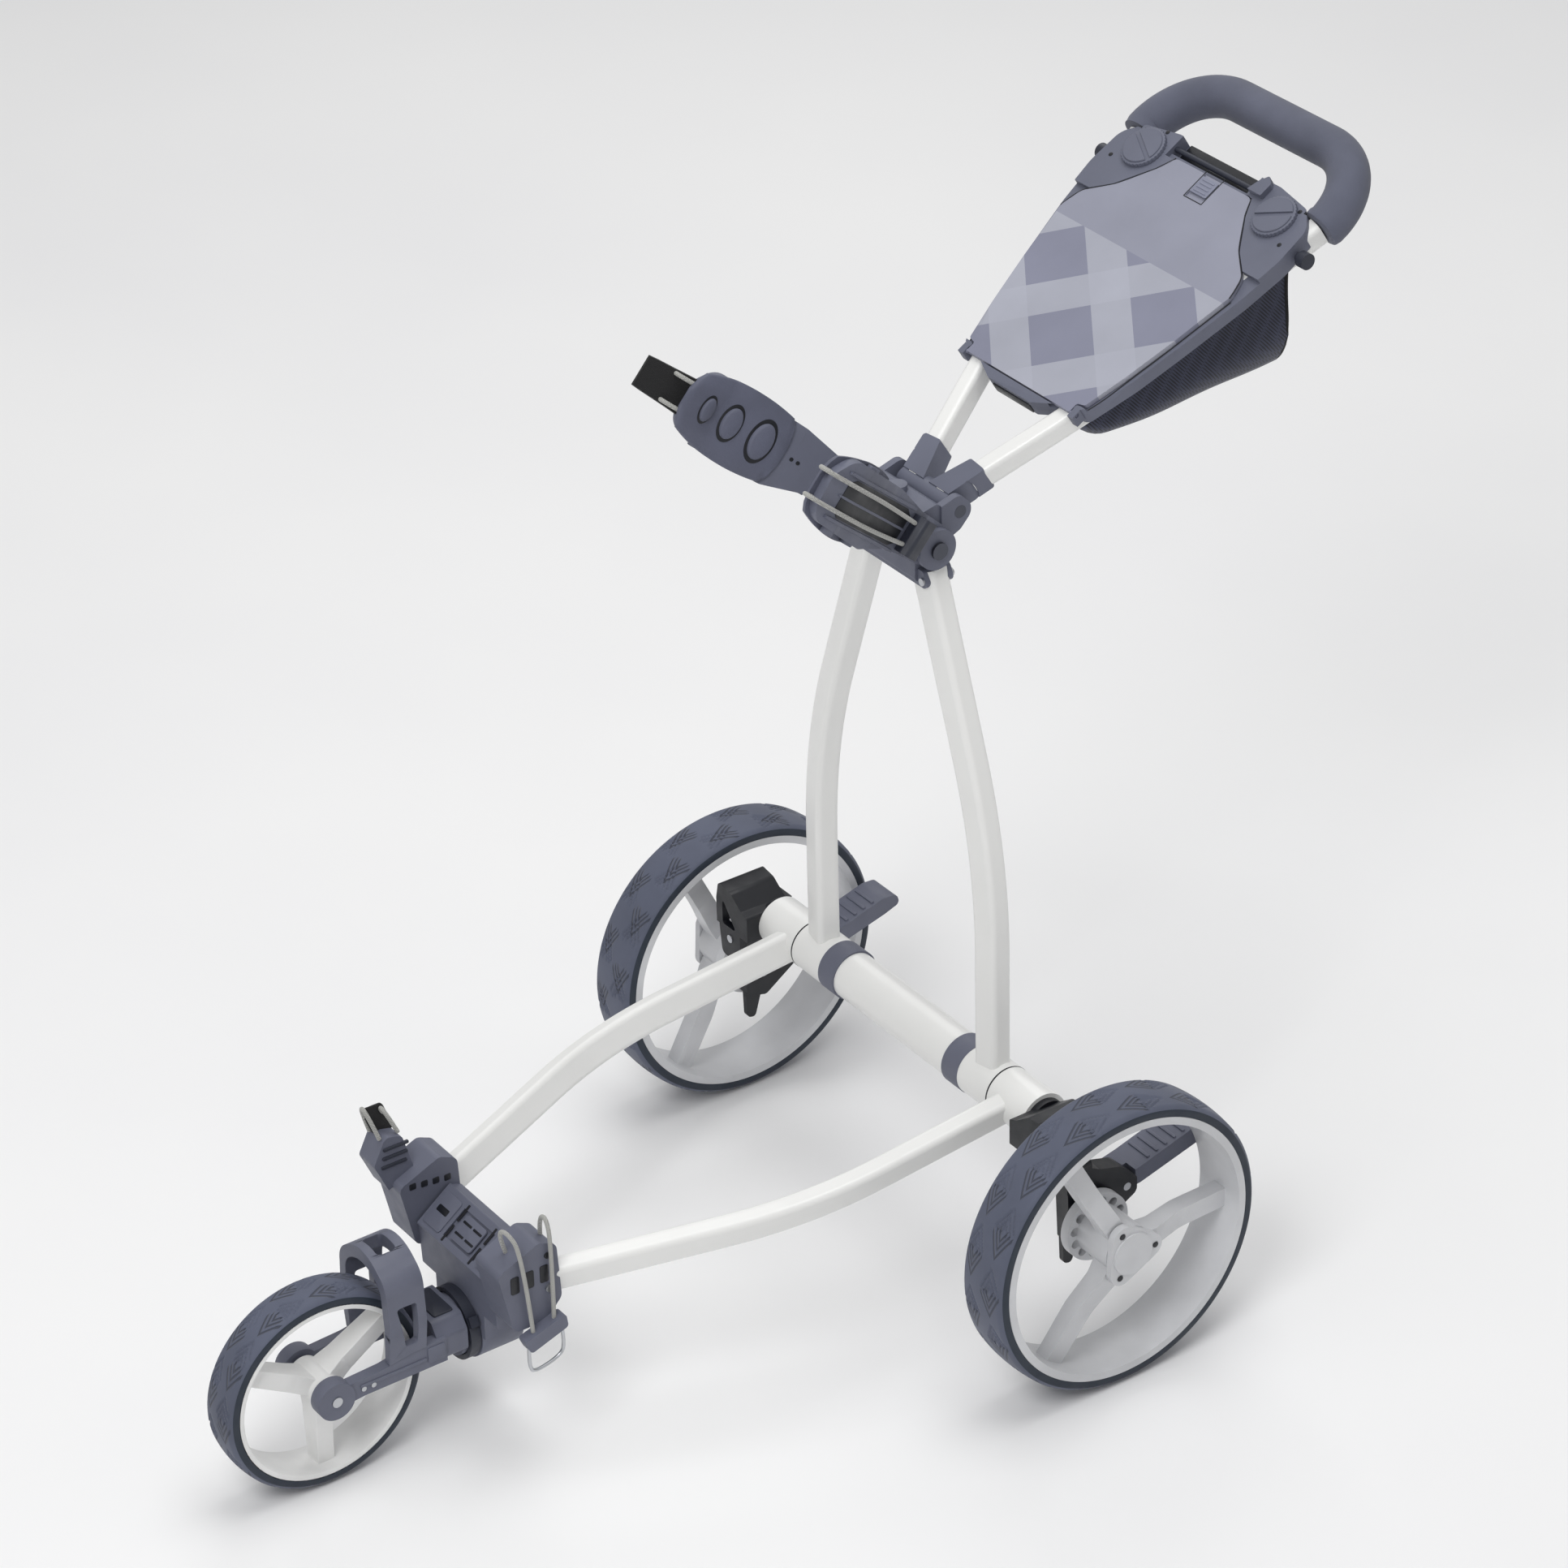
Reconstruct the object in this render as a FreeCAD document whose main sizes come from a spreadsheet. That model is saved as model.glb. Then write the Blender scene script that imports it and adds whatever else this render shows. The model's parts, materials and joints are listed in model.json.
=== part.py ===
import FreeCAD, Part

"""Three-wheeled golf push trolley, as a parametric document: +Z up, the front wheel towards -Y, the handle
towards +Y, +X the trolley's own left. The origin is on the ground under the middle of the whole trolley.
Sizes are in millimetres. Positions inside a sub-part are measured from the rear wheels' axle line (Y = 0),
and each sub-part's Placement then moves it back by axle_y."""

import math
import os
import re

from FreeCAD import Placement, Rotation, Vector

DIMENSIONS = {
    # where things are
    "axle_y": 156.6,
    "tube_y": -6.0,
    "tube_z": 225.3,
    "head_y": -10.0,
    "handle_y": 24.0,
    "handle_z": 761.0,
    "handle_slope": 31.4,
    "cradle_y": -12.0,
    "cradle_z": 742.0,
    "cradle_slope": 41.0,
    # rear wheels
    "rear_radius": 145.0,
    "rear_face_radius": 137.5,
    "rear_seat_radius": 132.5,
    "rear_drum_radius": 125.0,
    "rear_width": 56.0,
    "rear_centre_x": 294.0,
    "hub_radius": 24.0,
    "bearing_radius": 13.0,
    "bearing_width": 8.0,
    "stub_radius": 6.0,
    "notch_ring_radius": 34.0,
    "notch_circle_radius": 26.0,
    "notch_radius": 4.6,
    "spoke_width": 19.0,
    "spoke_angle": -3.0,
    # front wheel and its fork
    "front_radius": 100.0,
    "front_face_radius": 94.5,
    "front_seat_radius": 89.0,
    "front_drum_radius": 83.0,
    "front_width": 43.0,
    "front_y": -649.0,
    "front_spoke_width": 17.0,
    "front_axle_radius": 5.0,
    "stem_radius": 20.0,
    "collar_radius": 34.5,
    # tubes
    "axle_tube_radius": 19.0,
    "axle_tube_bore": 16.0,
    "centre_tube_radius": 23.3,
    "sleeve_radius": 24.5,
    "centre_half": 85.0,
    "ring_end": 108.0,
    "mast_sleeve_end": 151.5,
    "base_sleeve_start": 152.5,
    "base_sleeve_end": 205.0,
    "mast_leg_x": 131.0,
    "mast_leg_y": -7.0,
    "mast_leg_width": 27.0,
    "mast_leg_depth": 23.0,
    "mast_leg_turn": 8.0,
    "base_leg_x": 168.0,
    "base_leg_width": 19.0,
    "base_leg_height": 30.0,
    "base_leg_turn": 16.0,
    "base_leg_z": 225.0,
    "base_leg_fall": 5.5,
    "handle_leg_width": 18.5,
    "handle_leg_depth": 23.0,
    "wall": 2.0,
    "grip_radius": 19.5,
    # pivots
    "running_gap": 0.05,
    "fold_pin_radius": 6.0,
    "cradle_shaft_radius": 5.0,
    "arm_pin_radius": 4.0,
    "arm_pin_x": 234.0,
    "arm_pin_z": 204.0,
    "pedal_pin_y": 45.0,
    "pedal_pin_z": 161.0,
    "pedal_width": 35.0,
    # console
    "tray_low": -1.0,
    "tray_high": 11.5,
    "lid_low": 12.0,
    "lid_high": 16.5,
    "tub_low": -12.0,
    "lid_hinge_along": 124.0,
    "lid_hinge_height": 14.0,
    "knob_radius": 22.0,
    "knob_x": 91.0,
    "knob_along": 370.0,
    "stud_radius": 7.5,
    "stud_along": 354.0,
    "stud_height": 3.5,
    "net_skin": 3.0,
    # cords
    "cord_radius": 2.0,
}


class Sizes:
    """The spreadsheet's values by name, for the positions that this script works out."""


sizes = Sizes()
for alias, number in DIMENSIONS.items():
    setattr(sizes, alias, number)

doc = FreeCAD.newDocument("PushTrolley")
sheet = doc.addObject("Spreadsheet::Sheet", "Dimensions")
for row, (alias, number) in enumerate(DIMENSIONS.items(), start=1):
    sheet.set(f"A{row}", alias)
    sheet.set(f"B{row}", str(number))
    sheet.setAlias(f"B{row}", alias)
doc.recompute()

sub_parts = []

AXLE_FRAME = Placement(Vector(0, sizes.axle_y, 0), Rotation())
HANDLE_FRAME = Placement(
    Vector(0, sizes.axle_y + sizes.handle_y, sizes.handle_z), Rotation(Vector(1, 0, 0), sizes.handle_slope)
)
CRADLE_FRAME = Placement(
    Vector(0, sizes.axle_y + sizes.cradle_y, sizes.cradle_z),
    Rotation(Vector(1, 0, 0), 180 - sizes.cradle_slope),
)
X_AXIS, Y_AXIS, Z_AXIS = Vector(1, 0, 0), Vector(0, 1, 0), Vector(0, 0, 1)
TURN = {"X": Rotation(Y_AXIS, 90), "Y": Rotation(X_AXIS, -90), "Z": Rotation()}


# ---------------------------------------------------------------- building blocks


def bind(obj, **formulas):
    """Binds properties to formulas of the sheet's aliases."""
    for name, text in formulas.items():
        known = re.sub(
            r"[a-z][a-z_]*",
            lambda found: "Dimensions." + found.group() if found.group() in DIMENSIONS else found.group(),
            text,
        )
        obj.setExpression(name, known)
    return obj


def rod(name, radius, length, start, axis="X"):
    """A cylinder from a start point along +X, +Y or +Z; radius and length are formulas."""
    made = bind(doc.addObject("Part::Cylinder", name), Radius=radius, Height=length)
    made.Placement = Placement(Vector(*start), TURN[axis])
    return made


def block(name, size, corner, turn=None):
    """A box from its low corner; size is three formulas."""
    made = bind(doc.addObject("Part::Box", name), Length=size[0], Width=size[1], Height=size[2])
    made.Placement = Placement(Vector(*corner), turn or Rotation())
    return made


def fuse(name, *pieces):
    made = doc.addObject("Part::MultiFuse", name)
    made.Shapes = list(pieces)
    made.Refine = True
    return made


def group(name, *pieces):
    """Several separate solids in one sub-part."""
    made = doc.addObject("Part::Compound", name)
    made.Links = list(pieces)
    return made


def cut(name, base, *tools):
    made = doc.addObject("Part::Cut", name)
    made.Base = base
    made.Tool = tools[0] if len(tools) == 1 else group(name + "_tools", *tools)
    made.Refine = True
    return made


def common(name, first, second):
    made = doc.addObject("Part::Common", name)
    made.Base = first
    made.Tool = second
    made.Refine = True
    return made


def on_x(x):
    """A sketch plane whose axes are Y and Z, facing +X."""
    return Placement(Vector(x, 0, 0), Rotation(Vector(1, 1, 1), 120))


def on_y(y):
    """A sketch plane whose axes are X and Z, facing -Y."""
    return Placement(Vector(0, y, 0), Rotation(X_AXIS, 90))


def on_z(z):
    """A sketch plane whose axes are X and Y, facing +Z."""
    return Placement(Vector(0, 0, z), Rotation())


def rounded_edges(corners, closed):
    """Lines and tangent arcs through corners (u, v) or (u, v, radius)."""
    count = len(corners)
    points = [Vector(c[0], c[1], 0) for c in corners]
    legs = []
    for i, corner in enumerate(corners):
        radius = corner[2] if len(corner) > 2 else 0
        if not radius or (not closed and i in (0, count - 1)):
            legs.append((points[i], None, points[i]))
            continue
        back = (points[i - 1] - points[i]).normalize()
        ahead = (points[(i + 1) % count] - points[i]).normalize()
        half = back.getAngle(ahead) / 2
        reach = radius / math.tan(half)
        middle = points[i] + (back + ahead).normalize() * (radius / math.sin(half) - radius)
        legs.append((points[i] + back * reach, middle, points[i] + ahead * reach))
    edges = []
    for i, (enter, middle, leave) in enumerate(legs):
        if middle is not None:
            edges.append(Part.Arc(enter, middle, leave))
        if closed or i < count - 1:
            following = legs[(i + 1) % count][0]
            if leave.distanceToPoint(following) > 1e-6:
                edges.append(Part.LineSegment(leave, following))
    return edges


def sketch(name, corners, where, closed=True):
    made = doc.addObject("Sketcher::SketchObject", name)
    made.addGeometry(rounded_edges(corners, closed), False)
    made.Placement = where
    return made


def slab(name, corners, where, thickness):
    """A closed outline made solid along its sketch's normal; thickness is a formula."""
    made = doc.addObject("Part::Extrusion", name)
    made.Base = sketch(name + "_outline", corners, where)
    made.DirMode = "Normal"
    made.Solid = True
    return bind(made, LengthFwd=thickness)


def loft(name, *outlines):
    made = doc.addObject("Part::Loft", name)
    made.Sections = list(outlines)
    made.Solid = True
    made.Ruled = True
    return made


def rectangle(half_u, half_v, radius, turn=0.0, centre=(0.0, 0.0)):
    """The four corners of a rounded rectangle, turned about its centre."""
    c, s = math.cos(math.radians(turn)), math.sin(math.radians(turn))
    signs = ((1, 1), (-1, 1), (-1, -1), (1, -1))
    return [
        (
            centre[0] + a * half_u * c - b * half_v * s,
            centre[1] + a * half_u * s + b * half_v * c,
            radius,
        )
        for a, b in signs
    ]


def sweep(name, path, section):
    made = doc.addObject("Part::Sweep", name)
    made.Sections = [section]
    made.Spine = (path, [])
    made.Solid = True
    made.Frenet = False
    return made


def bent_tube(name, path, path_plane, section_plane, half_u, half_v, turn):
    """(outer solid, hollow tube) of a rounded rectangular section along a bent path."""
    outer = sweep(
        name + "_outer",
        sketch(name + "_path", path, path_plane, closed=False),
        sketch(name + "_section", rectangle(half_u, half_v, 5.5, turn), section_plane),
    )
    wall = sizes.wall
    bore = sweep(
        name + "_bore",
        sketch(name + "_bore_path", path, path_plane, closed=False),
        sketch(name + "_bore_section", rectangle(half_u - wall, half_v - wall, 3.5, turn), section_plane),
    )
    return outer, bore


def cord_solid(points, radii, radius):
    """A round cord of straight runs joined by tangent arcs through points in space."""
    edges, last = [], Vector(*points[0])
    for i in range(1, len(points) - 1):
        here = Vector(*points[i])
        back = (Vector(*points[i - 1]) - here).normalize()
        ahead = (Vector(*points[i + 1]) - here).normalize()
        half = back.getAngle(ahead) / 2
        reach = radii[i - 1] / math.tan(half)
        middle = here + (back + ahead).normalize() * (radii[i - 1] / math.sin(half) - radii[i - 1])
        enter, leave = here + back * reach, here + ahead * reach
        if last.distanceToPoint(enter) > 1e-6:
            edges.append(Part.LineSegment(last, enter).toShape())
        edges.append(Part.Arc(enter, middle, leave).toShape())
        last = leave
    edges.append(Part.LineSegment(last, Vector(*points[-1])).toShape())
    path = Part.Wire(edges)
    start = Vector(*points[0])
    heading = (Vector(*points[1]) - start).normalize()
    ring = Part.Wire([Part.makeCircle(radius, start, heading)])
    return path.makePipeShell([ring], True, False)


def free_shape(name, shape):
    """A Part::Feature, for a round cord along a path in space."""
    made = doc.addObject("Part::Feature", name)
    made.Shape = shape
    return made


def finish(obj, label, frame=AXLE_FRAME):
    """Names a sub-part, puts it in its place and lists it for export."""
    obj.Label = label
    obj.Placement = frame.multiply(obj.Placement)
    sub_parts.append(obj)
    return obj


def mirror(source, label):
    """The same piece on the trolley's right."""
    made = doc.addObject("Part::Mirroring", label)
    made.Source = source
    made.Base = Vector(0, 0, 0)
    made.Normal = X_AXIS
    made.Label = label
    sub_parts.append(made)
    return made


def pair(left, name, frame=AXLE_FRAME):
    """Finishes the left piece and makes its mirror image on the right."""
    finish(left, name + "_left", frame)
    mirror(left, name + "_right")
    return left


def revolved_body(label, corners, centre):
    """A PartDesign body: an outline of (across, radial) corners turned about X through a centre."""
    body = doc.addObject("PartDesign::Body", label)
    body.Label = label
    plane = next(f for f in body.Origin.OriginFeatures if f.Role == "XY_Plane")
    profile = body.newObject("Sketcher::SketchObject", label + "_profile")
    profile.AttachmentSupport = [(plane, "")]
    profile.MapMode = "FlatFace"
    profile.addGeometry(rounded_edges(corners, True), False)
    doc.recompute()
    turned = body.newObject("PartDesign::Revolution", label + "_turned")
    turned.Profile = profile
    turned.ReferenceAxis = (profile, ["H_Axis"])
    turned.Angle = 360
    body.Tip = turned
    body.Placement = Placement(Vector(*centre), Rotation())
    doc.recompute()
    sub_parts.append(body)
    return body


# ---------------------------------------------------------------- rear wheels


def tyre_profile(width, radius, face_radius, seat_radius):
    """Half the tyre's section: a flat seat, straight side walls and a gently crowned tread."""
    half = width / 2
    return [
        (-half, seat_radius),
        (half, seat_radius),
        (half, face_radius, 4.0),
        (half * 0.72, radius - 1.6, 20.0),
        (0.0, radius + 0.4, 60.0),
        (-half * 0.72, radius - 1.6, 20.0),
        (-half, face_radius, 4.0),
    ]


def spoke(name, angle, corners, width):
    """One spoke: a side outline of (radius, across) corners, as thick as width, at an angle about +X."""
    half = width / 2
    made = doc.addObject("Part::Extrusion", name)
    outline = sketch(name + "_outline", corners, Placement(Vector(0, 0, -half), Rotation(Z_AXIS, 90)))
    made.Base = outline
    made.DirMode = "Normal"
    made.Solid = True
    made.LengthFwd = width
    made.Placement = Placement(Vector(0, 0, 0), Rotation(X_AXIS, angle))
    return made


def build_rear_wheels():
    half = sizes.rear_width / 2
    for side, sign in (("left", 1), ("right", -1)):
        centre = (sign * sizes.rear_centre_x, sizes.axle_y, sizes.rear_radius)
        corners = tyre_profile(
            sizes.rear_width, sizes.rear_radius, sizes.rear_face_radius, sizes.rear_seat_radius
        )
        revolved_body("rear_tyre_" + side, corners, centre)
    frame = Placement(Vector(sizes.rear_centre_x, sizes.axle_y, sizes.rear_radius), Rotation())

    drum = cut(
        "rear_drum",
        rod("rear_drum_outside", "rear_seat_radius", "rear_width", (-half, 0, 0)),
        rod("rear_drum_inside", "rear_drum_radius", "rear_width + 2", (-half - 1, 0, 0)),
    )
    hub = rod("rear_hub", "hub_radius", "rear_width - 5", (-half + 3, 0, 0))
    ring = rod("rear_notch_ring", "notch_ring_radius", "10", (-half + 1, 0, 0))
    # Each spoke leaves the middle of the drum and slopes out to the face of the hub.
    side = [
        (15, -2), (15, -25.5), (34, -24, 12), (70, -13, 60), (127, -8), (127, 8), (70, 4, 60), (36, -4, 20)
    ]
    spokes = [
        spoke(f"rear_spoke_{k}", sizes.spoke_angle + 120 * k, side, sizes.spoke_width) for k in range(3)
    ]
    notches = []
    for k in range(12):
        angle = math.radians(19.5 + 30 * k)
        place = (
            -half,
            sizes.notch_circle_radius * math.cos(angle),
            sizes.notch_circle_radius * math.sin(angle),
        )
        notches.append(rod(f"notch_{k}", "notch_radius", "12", place))
    bore = rod("rear_bore", "bearing_radius", "rear_width + 4", (-half - 2, 0, 0))
    rim = cut("rear_rim", fuse("rear_rim_whole", drum, hub, ring, *spokes), bore, *notches)
    pair(rim, "rear_rim", frame)

    rings = []
    for k, start in enumerate((-half + 2, half - 15)):
        whole = rod(f"bearing_{k}", "bearing_radius", "bearing_width", (start, 0, 0))
        hole = rod(f"bearing_hole_{k}", "stub_radius + running_gap", "bearing_width + 2", (start - 1, 0, 0))
        rings.append(cut(f"bearing_ring_{k}", whole, hole))
    pair(group("wheel_bearings", *rings), "wheel_bearings", frame)

    # The hub cap is a rounded triangle whose lobes lie over the spokes, held by three screws.
    lobes = []
    for k in range(3):
        angle = math.radians(sizes.spoke_angle + 120 * k)
        lobes.append((46 * math.cos(angle), 46 * math.sin(angle), 13.0))
    plate = slab("hub_cap_plate", lobes, on_x(half - 1.8), "7")
    dome = rod("hub_cap_dome", "21", "8.8", (half - 1.8, 0, 0))
    cap = fuse("hub_cap_whole", plate, dome)
    holes, screws = [], []
    for k in range(3):
        angle = math.radians(sizes.spoke_angle + 120 * k)
        place = (25.5 * math.cos(angle), 25.5 * math.sin(angle))
        holes.append(rod(f"cap_screw_hole_{k}", "3.4", "3", (half + 3.4, *place)))
        screws.append(rod(f"cap_screw_{k}", "3.2", "1.9", (half + 3.4, *place)))
    pair(group("hub_cap", cut("hub_cap_shell", cap, *holes), *screws), "hub_cap", frame)


def build_wheel_arms():
    pin_x, pin_z = sizes.arm_pin_x, sizes.arm_pin_z
    knuckle = rod("arm_knuckle", "8", "40", (pin_x, -35, pin_z), "Y")
    neck_outline = [(230, 199), (244, 180), (262, 180), (262, 205, 5), (238, 211.5)]
    neck = slab("arm_neck", neck_outline, on_y(5), "28")
    side = [
        (-23, 198),
        (-20, 124, 4),
        (2, 118, 6),
        (34, 140, 10),
        (56, 152, 8),
        (56, 168, 8),
        (38, 186, 8),
        (14, 193, 8),
        (5, 198),
    ]
    plate = slab("arm_plate", side, on_x(244), "18")
    tab = slab("arm_tab", [(-20, 126), (-19, 98, 5), (-10, 96, 4), (-2, 124)], on_x(246), "6")
    pin_bore = rod("arm_knuckle_bore", "arm_pin_radius + running_gap", "60", (pin_x, -45, pin_z), "Y")
    brake_bore = rod("arm_brake_bore", "arm_pin_radius + running_gap", "24", (242, 24.5, 153.7))
    stub_bore = rod("arm_stub_bore", "stub_radius", "24", (242, 0, sizes.rear_radius))
    pedal_place = (sizes.pedal_pin_y, sizes.pedal_pin_z)
    pedal_bore = rod("arm_pedal_bore", "arm_pin_radius", "24", (242, *pedal_place))
    whole = fuse("wheel_arm_whole", knuckle, neck, plate, tab)
    pair(cut("wheel_arm", whole, pin_bore, brake_bore, stub_bore, pedal_bore), "wheel_arm")

    stub = rod("stub_shaft", "stub_radius", "74", (244, 0, sizes.rear_radius))
    nut = rod("stub_nut", "9", "2.5", (262, 0, sizes.rear_radius))
    pedal_pin = rod("pedal_pin", "arm_pin_radius", "42", (220, *pedal_place))
    pair(group("wheel_arm_pins", fuse("stub_axle_whole", stub, nut), pedal_pin), "stub_axle")
    pair(rod("brake_pin", "arm_pin_radius", "22", (243.5, 24.5, 153.7)), "brake_pin")

    barrel = rod("pedal_barrel", "8", "21", (222, *pedal_place))
    tread_side = [
        (46, 168.5),
        (62, 172, 20),
        (126, 190, 12),
        (142, 189, 7),
        (145, 178, 5),
        (128, 172, 14),
        (64, 155, 20),
        (48, 153.5),
    ]
    tread = slab("pedal_tread", tread_side, on_x(222), "pedal_width")
    clearance = block("pedal_clearance", ("20", "34", "50"), (243.2, 24, 140))
    turning_bore = rod("pedal_bore", "arm_pin_radius + running_gap", "40", (210, *pedal_place))
    pair(cut("pedal", fuse("pedal_whole", barrel, tread), clearance, turning_bore), "brake_pedal")


# ---------------------------------------------------------------- axle tube and base


def tube_piece(name, outer, inner, start, length):
    """A length of round tube about the axle tube's own line."""
    place = (sizes.tube_y, sizes.tube_z)
    whole = rod(name + "_outside", outer, length, (start, *place))
    hole = rod(name + "_inside", inner, "(" + length + ") + 2", (start - 1, *place))
    return cut(name, whole, hole)


def base_leg_sweeps(name):
    """The base leg's outer solid and its bore; the leg falls towards the front in one plane."""
    fall = sizes.base_leg_fall
    plane = Placement(Vector(0, 0, sizes.base_leg_z), Rotation(X_AXIS, 180 + fall))
    start = Placement(Vector(sizes.base_leg_x, 0, sizes.base_leg_z), Rotation(X_AXIS, 90 + fall))
    path = [(sizes.base_leg_x, 0), (sizes.base_leg_x, 237, 430), (82, 473)]
    half_width, half_height = sizes.base_leg_width / 2, sizes.base_leg_height / 2
    return bent_tube(name, path, plane, start, half_width, half_height, -sizes.base_leg_turn)


def build_base():
    finish(tube_piece("axle_tube", "axle_tube_radius", "axle_tube_bore", -203, "406"), "axle_tube")
    outer, bore = base_leg_sweeps("base_leg")
    sleeve_space = rod("base_leg_trim", "sleeve_radius - 1", "80", (130, sizes.tube_y, sizes.tube_z))
    leg = cut("base_leg_tube", outer, bore, sleeve_space)
    sleeve = tube_piece(
        "base_sleeve",
        "sleeve_radius",
        "axle_tube_radius",
        sizes.base_sleeve_start,
        "base_sleeve_end - base_sleeve_start",
    )
    pair(fuse("base_leg", leg, sleeve), "base_leg")

    # The folding bracket at each end of the tube: a hood over two ears that hold the arm's pin.
    hood_front = [
        (205, 213.5), (205, 240, 3), (214, 243, 6), (232, 256, 10), (252, 259, 5), (256, 240), (256, 213.5)
    ]
    hood = slab("bracket_hood", hood_front, on_y(6), "50")
    pocket = slab(
        "bracket_pocket", [(211, 210), (211, 234), (231, 249, 8), (249, 252, 4), (251, 210)], on_y(2), "42"
    )
    skirt = slab(
        "bracket_skirt",
        [(218, 230), (218, 196, 8), (236, 182, 6), (248, 182, 6), (254, 230)],
        on_y(-36.5),
        "7.5",
    )
    rear_ear = slab("bracket_ear", [(225, 215), (225, 194, 8), (243, 194, 8), (243, 215)], on_y(14), "8.2")
    rear_wall = slab("bracket_rear_wall", [(214, 214), (214, 240), (254, 240), (254, 214)], on_y(14), "8.2")
    plug = rod("bracket_plug", "axle_tube_bore", "28", (178, sizes.tube_y, sizes.tube_z))
    collar = rod("bracket_collar", "sleeve_radius - 4", "7", (205, sizes.tube_y, sizes.tube_z))
    window = slab("bracket_window", [(224, 216, 2), (246, 216, 2), (246, 244, 2)], on_y(-30), "20")
    pin_line = (sizes.arm_pin_x, -60, sizes.arm_pin_z)
    pin_hole = rod("bracket_pin_hole", "arm_pin_radius", "100", pin_line, "Y")
    hollow_hood = cut("bracket_shell", hood, pocket)
    whole = fuse("bracket_whole", hollow_hood, skirt, rear_ear, rear_wall, plug, collar)
    pair(cut("axle_bracket", whole, window, pin_hole), "axle_bracket")
    pins = []
    for k, sign in enumerate((1, -1)):
        pin_front = (sign * sizes.arm_pin_x, -45, sizes.arm_pin_z)
        pins.append(rod(f"arm_pin_{k}", "arm_pin_radius", "60", pin_front, "Y"))
    finish(group("arm_pins", *pins), "arm_hinge_pins")


WING_OUTLINE = [
    (-517, 212, 7),
    (-474, 230, 8),
    (-456, 222, 10),
    (-453, 165, 10),
    (-470, 146, 8),
    (-503, 146, 8),
    (-508, 170, 4),
]


def build_lower_bracket():
    """The bag's lower rest: a core round the fork's stem, two wings on the base legs and a sloped cover."""
    stem_z = sizes.front_radius
    core = slab(
        "lower_core_block",
        [(-498, 124, 4), (-455, 124, 6), (-452, 192, 4), (-463, 196), (-500, 168)],
        on_x(-62),
        "124",
    )
    barrel = rod("lower_barrel", "36", "43", (0, -498, stem_z), "Y")
    bridge = block("lower_bridge", ("80", "43", "30"), (-40, -498, stem_z))
    nose = rod("lower_nose", "30", "16", (0, -502, stem_z), "Y")
    wings = [slab(f"lower_wing_{k}", WING_OUTLINE, on_x(start), "38") for k, start in enumerate((62, -100))]
    outer, _ = base_leg_sweeps("socket_left")
    right = doc.addObject("Part::Mirroring", "socket_right")
    right.Source = outer
    right.Normal = X_AXIS
    stem_bore = rod("lower_stem_bore", "stem_radius + running_gap", "80", (0, -510, stem_z), "Y")
    whole = fuse("lower_whole", core, barrel, bridge, nose, *wings)
    finish(cut("lower_bracket", whole, outer, right, stem_bore), "lower_bracket")

    # The cover lies on the core's sloping face, with a shallow groove down its middle.
    cover = slab(
        "lower_cover_plate",
        [(-500, 168), (-463, 196), (-466, 200, 1.5), (-503, 172, 1.5)],
        on_x(-60),
        "120",
    )
    groove = block("lower_cover_groove", ("50", "30", "10"), (-25, -495.4, 175.2), Rotation(X_AXIS, 37.1))
    finish(cut("lower_cover", cover, groove), "lower_cover")

    ring = cut(
        "swivel_collar_ring",
        rod("swivel_collar_outside", "collar_radius", "10.5", (0, -509, stem_z), "Y"),
        rod("swivel_collar_inside", "30", "13", (0, -510, stem_z), "Y"),
    )
    lugs = []
    for k in range(2):
        turn = Rotation(Y_AXIS, 60 + 180 * k)
        lug = block(f"collar_lug_{k}", ("10", "9", "6"), (0, 0, 0))
        lug.Placement = Placement(
            Vector(0, 0, stem_z) + turn.multVec(Vector(-5, -508.5, sizes.collar_radius - 2)), turn
        )
        lugs.append(lug)
    finish(fuse("swivel_collar", ring, *lugs), "swivel_collar")

    # The right buckle stands up off its wing; the left one is a low hook on the wing's outer face.
    upright = [(-520, 206), (-533, 236, 5), (-520, 262, 7), (-503, 258, 7), (-492, 216)]
    upper = slab("lower_buckle_up", upright, on_x(-101), "26")
    upper_trim = slab("lower_buckle_trim", WING_OUTLINE, on_x(-105), "44")
    hanging = slab(
        "lower_buckle_low",
        [(-500, 141, 3), (-494, 127, 4), (-455, 140, 4), (-457, 154, 3)],
        on_x(100),
        "12",
    )
    finish(group("lower_buckles", cut("lower_buckle_upper", upper, upper_trim), hanging), "lower_buckles")

    screws = []
    for k, (x, y) in enumerate(((50, -465), (-50, -465), (50, -487), (-50, -487))):
        screws.append(rod(f"lower_screw_{k}", "4", "2.5", (x, y, 121.5), "Z"))
    for k, x in enumerate((100, -102.5)):
        screws.append(rod(f"wing_screw_{k}", "4", "2.5", (x, -466, 180)))
    finish(group("lower_screws", *screws), "lower_screws")

    routes = [
        (
            [(82, -497, 220.4), (84, -505, 246), (97, -504, 254), (106, -495, 232), (106, -488, 144.8)],
            (7, 7, 30),
        ),
        (
            [(82, -461, 223), (85, -463, 246), (97, -463, 251), (106, -465, 228), (106, -466, 150.6)],
            (7, 7, 30),
        ),
    ]
    for y, top in ((-529, 291), (-510, 284)):
        points = [(-97, y + 6, 259.5), (-94, y - 4, top), (-83, y - 4, top), (-80, y + 6, 259.5)]
        routes.append((points, (5, 5)))
    cords = [
        free_shape(f"lower_cord_{k}", cord_solid(points, radii, sizes.cord_radius))
        for k, (points, radii) in enumerate(routes)
    ]
    finish(group("lower_cords", *cords), "lower_cords")


# ---------------------------------------------------------------- front wheel


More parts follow.
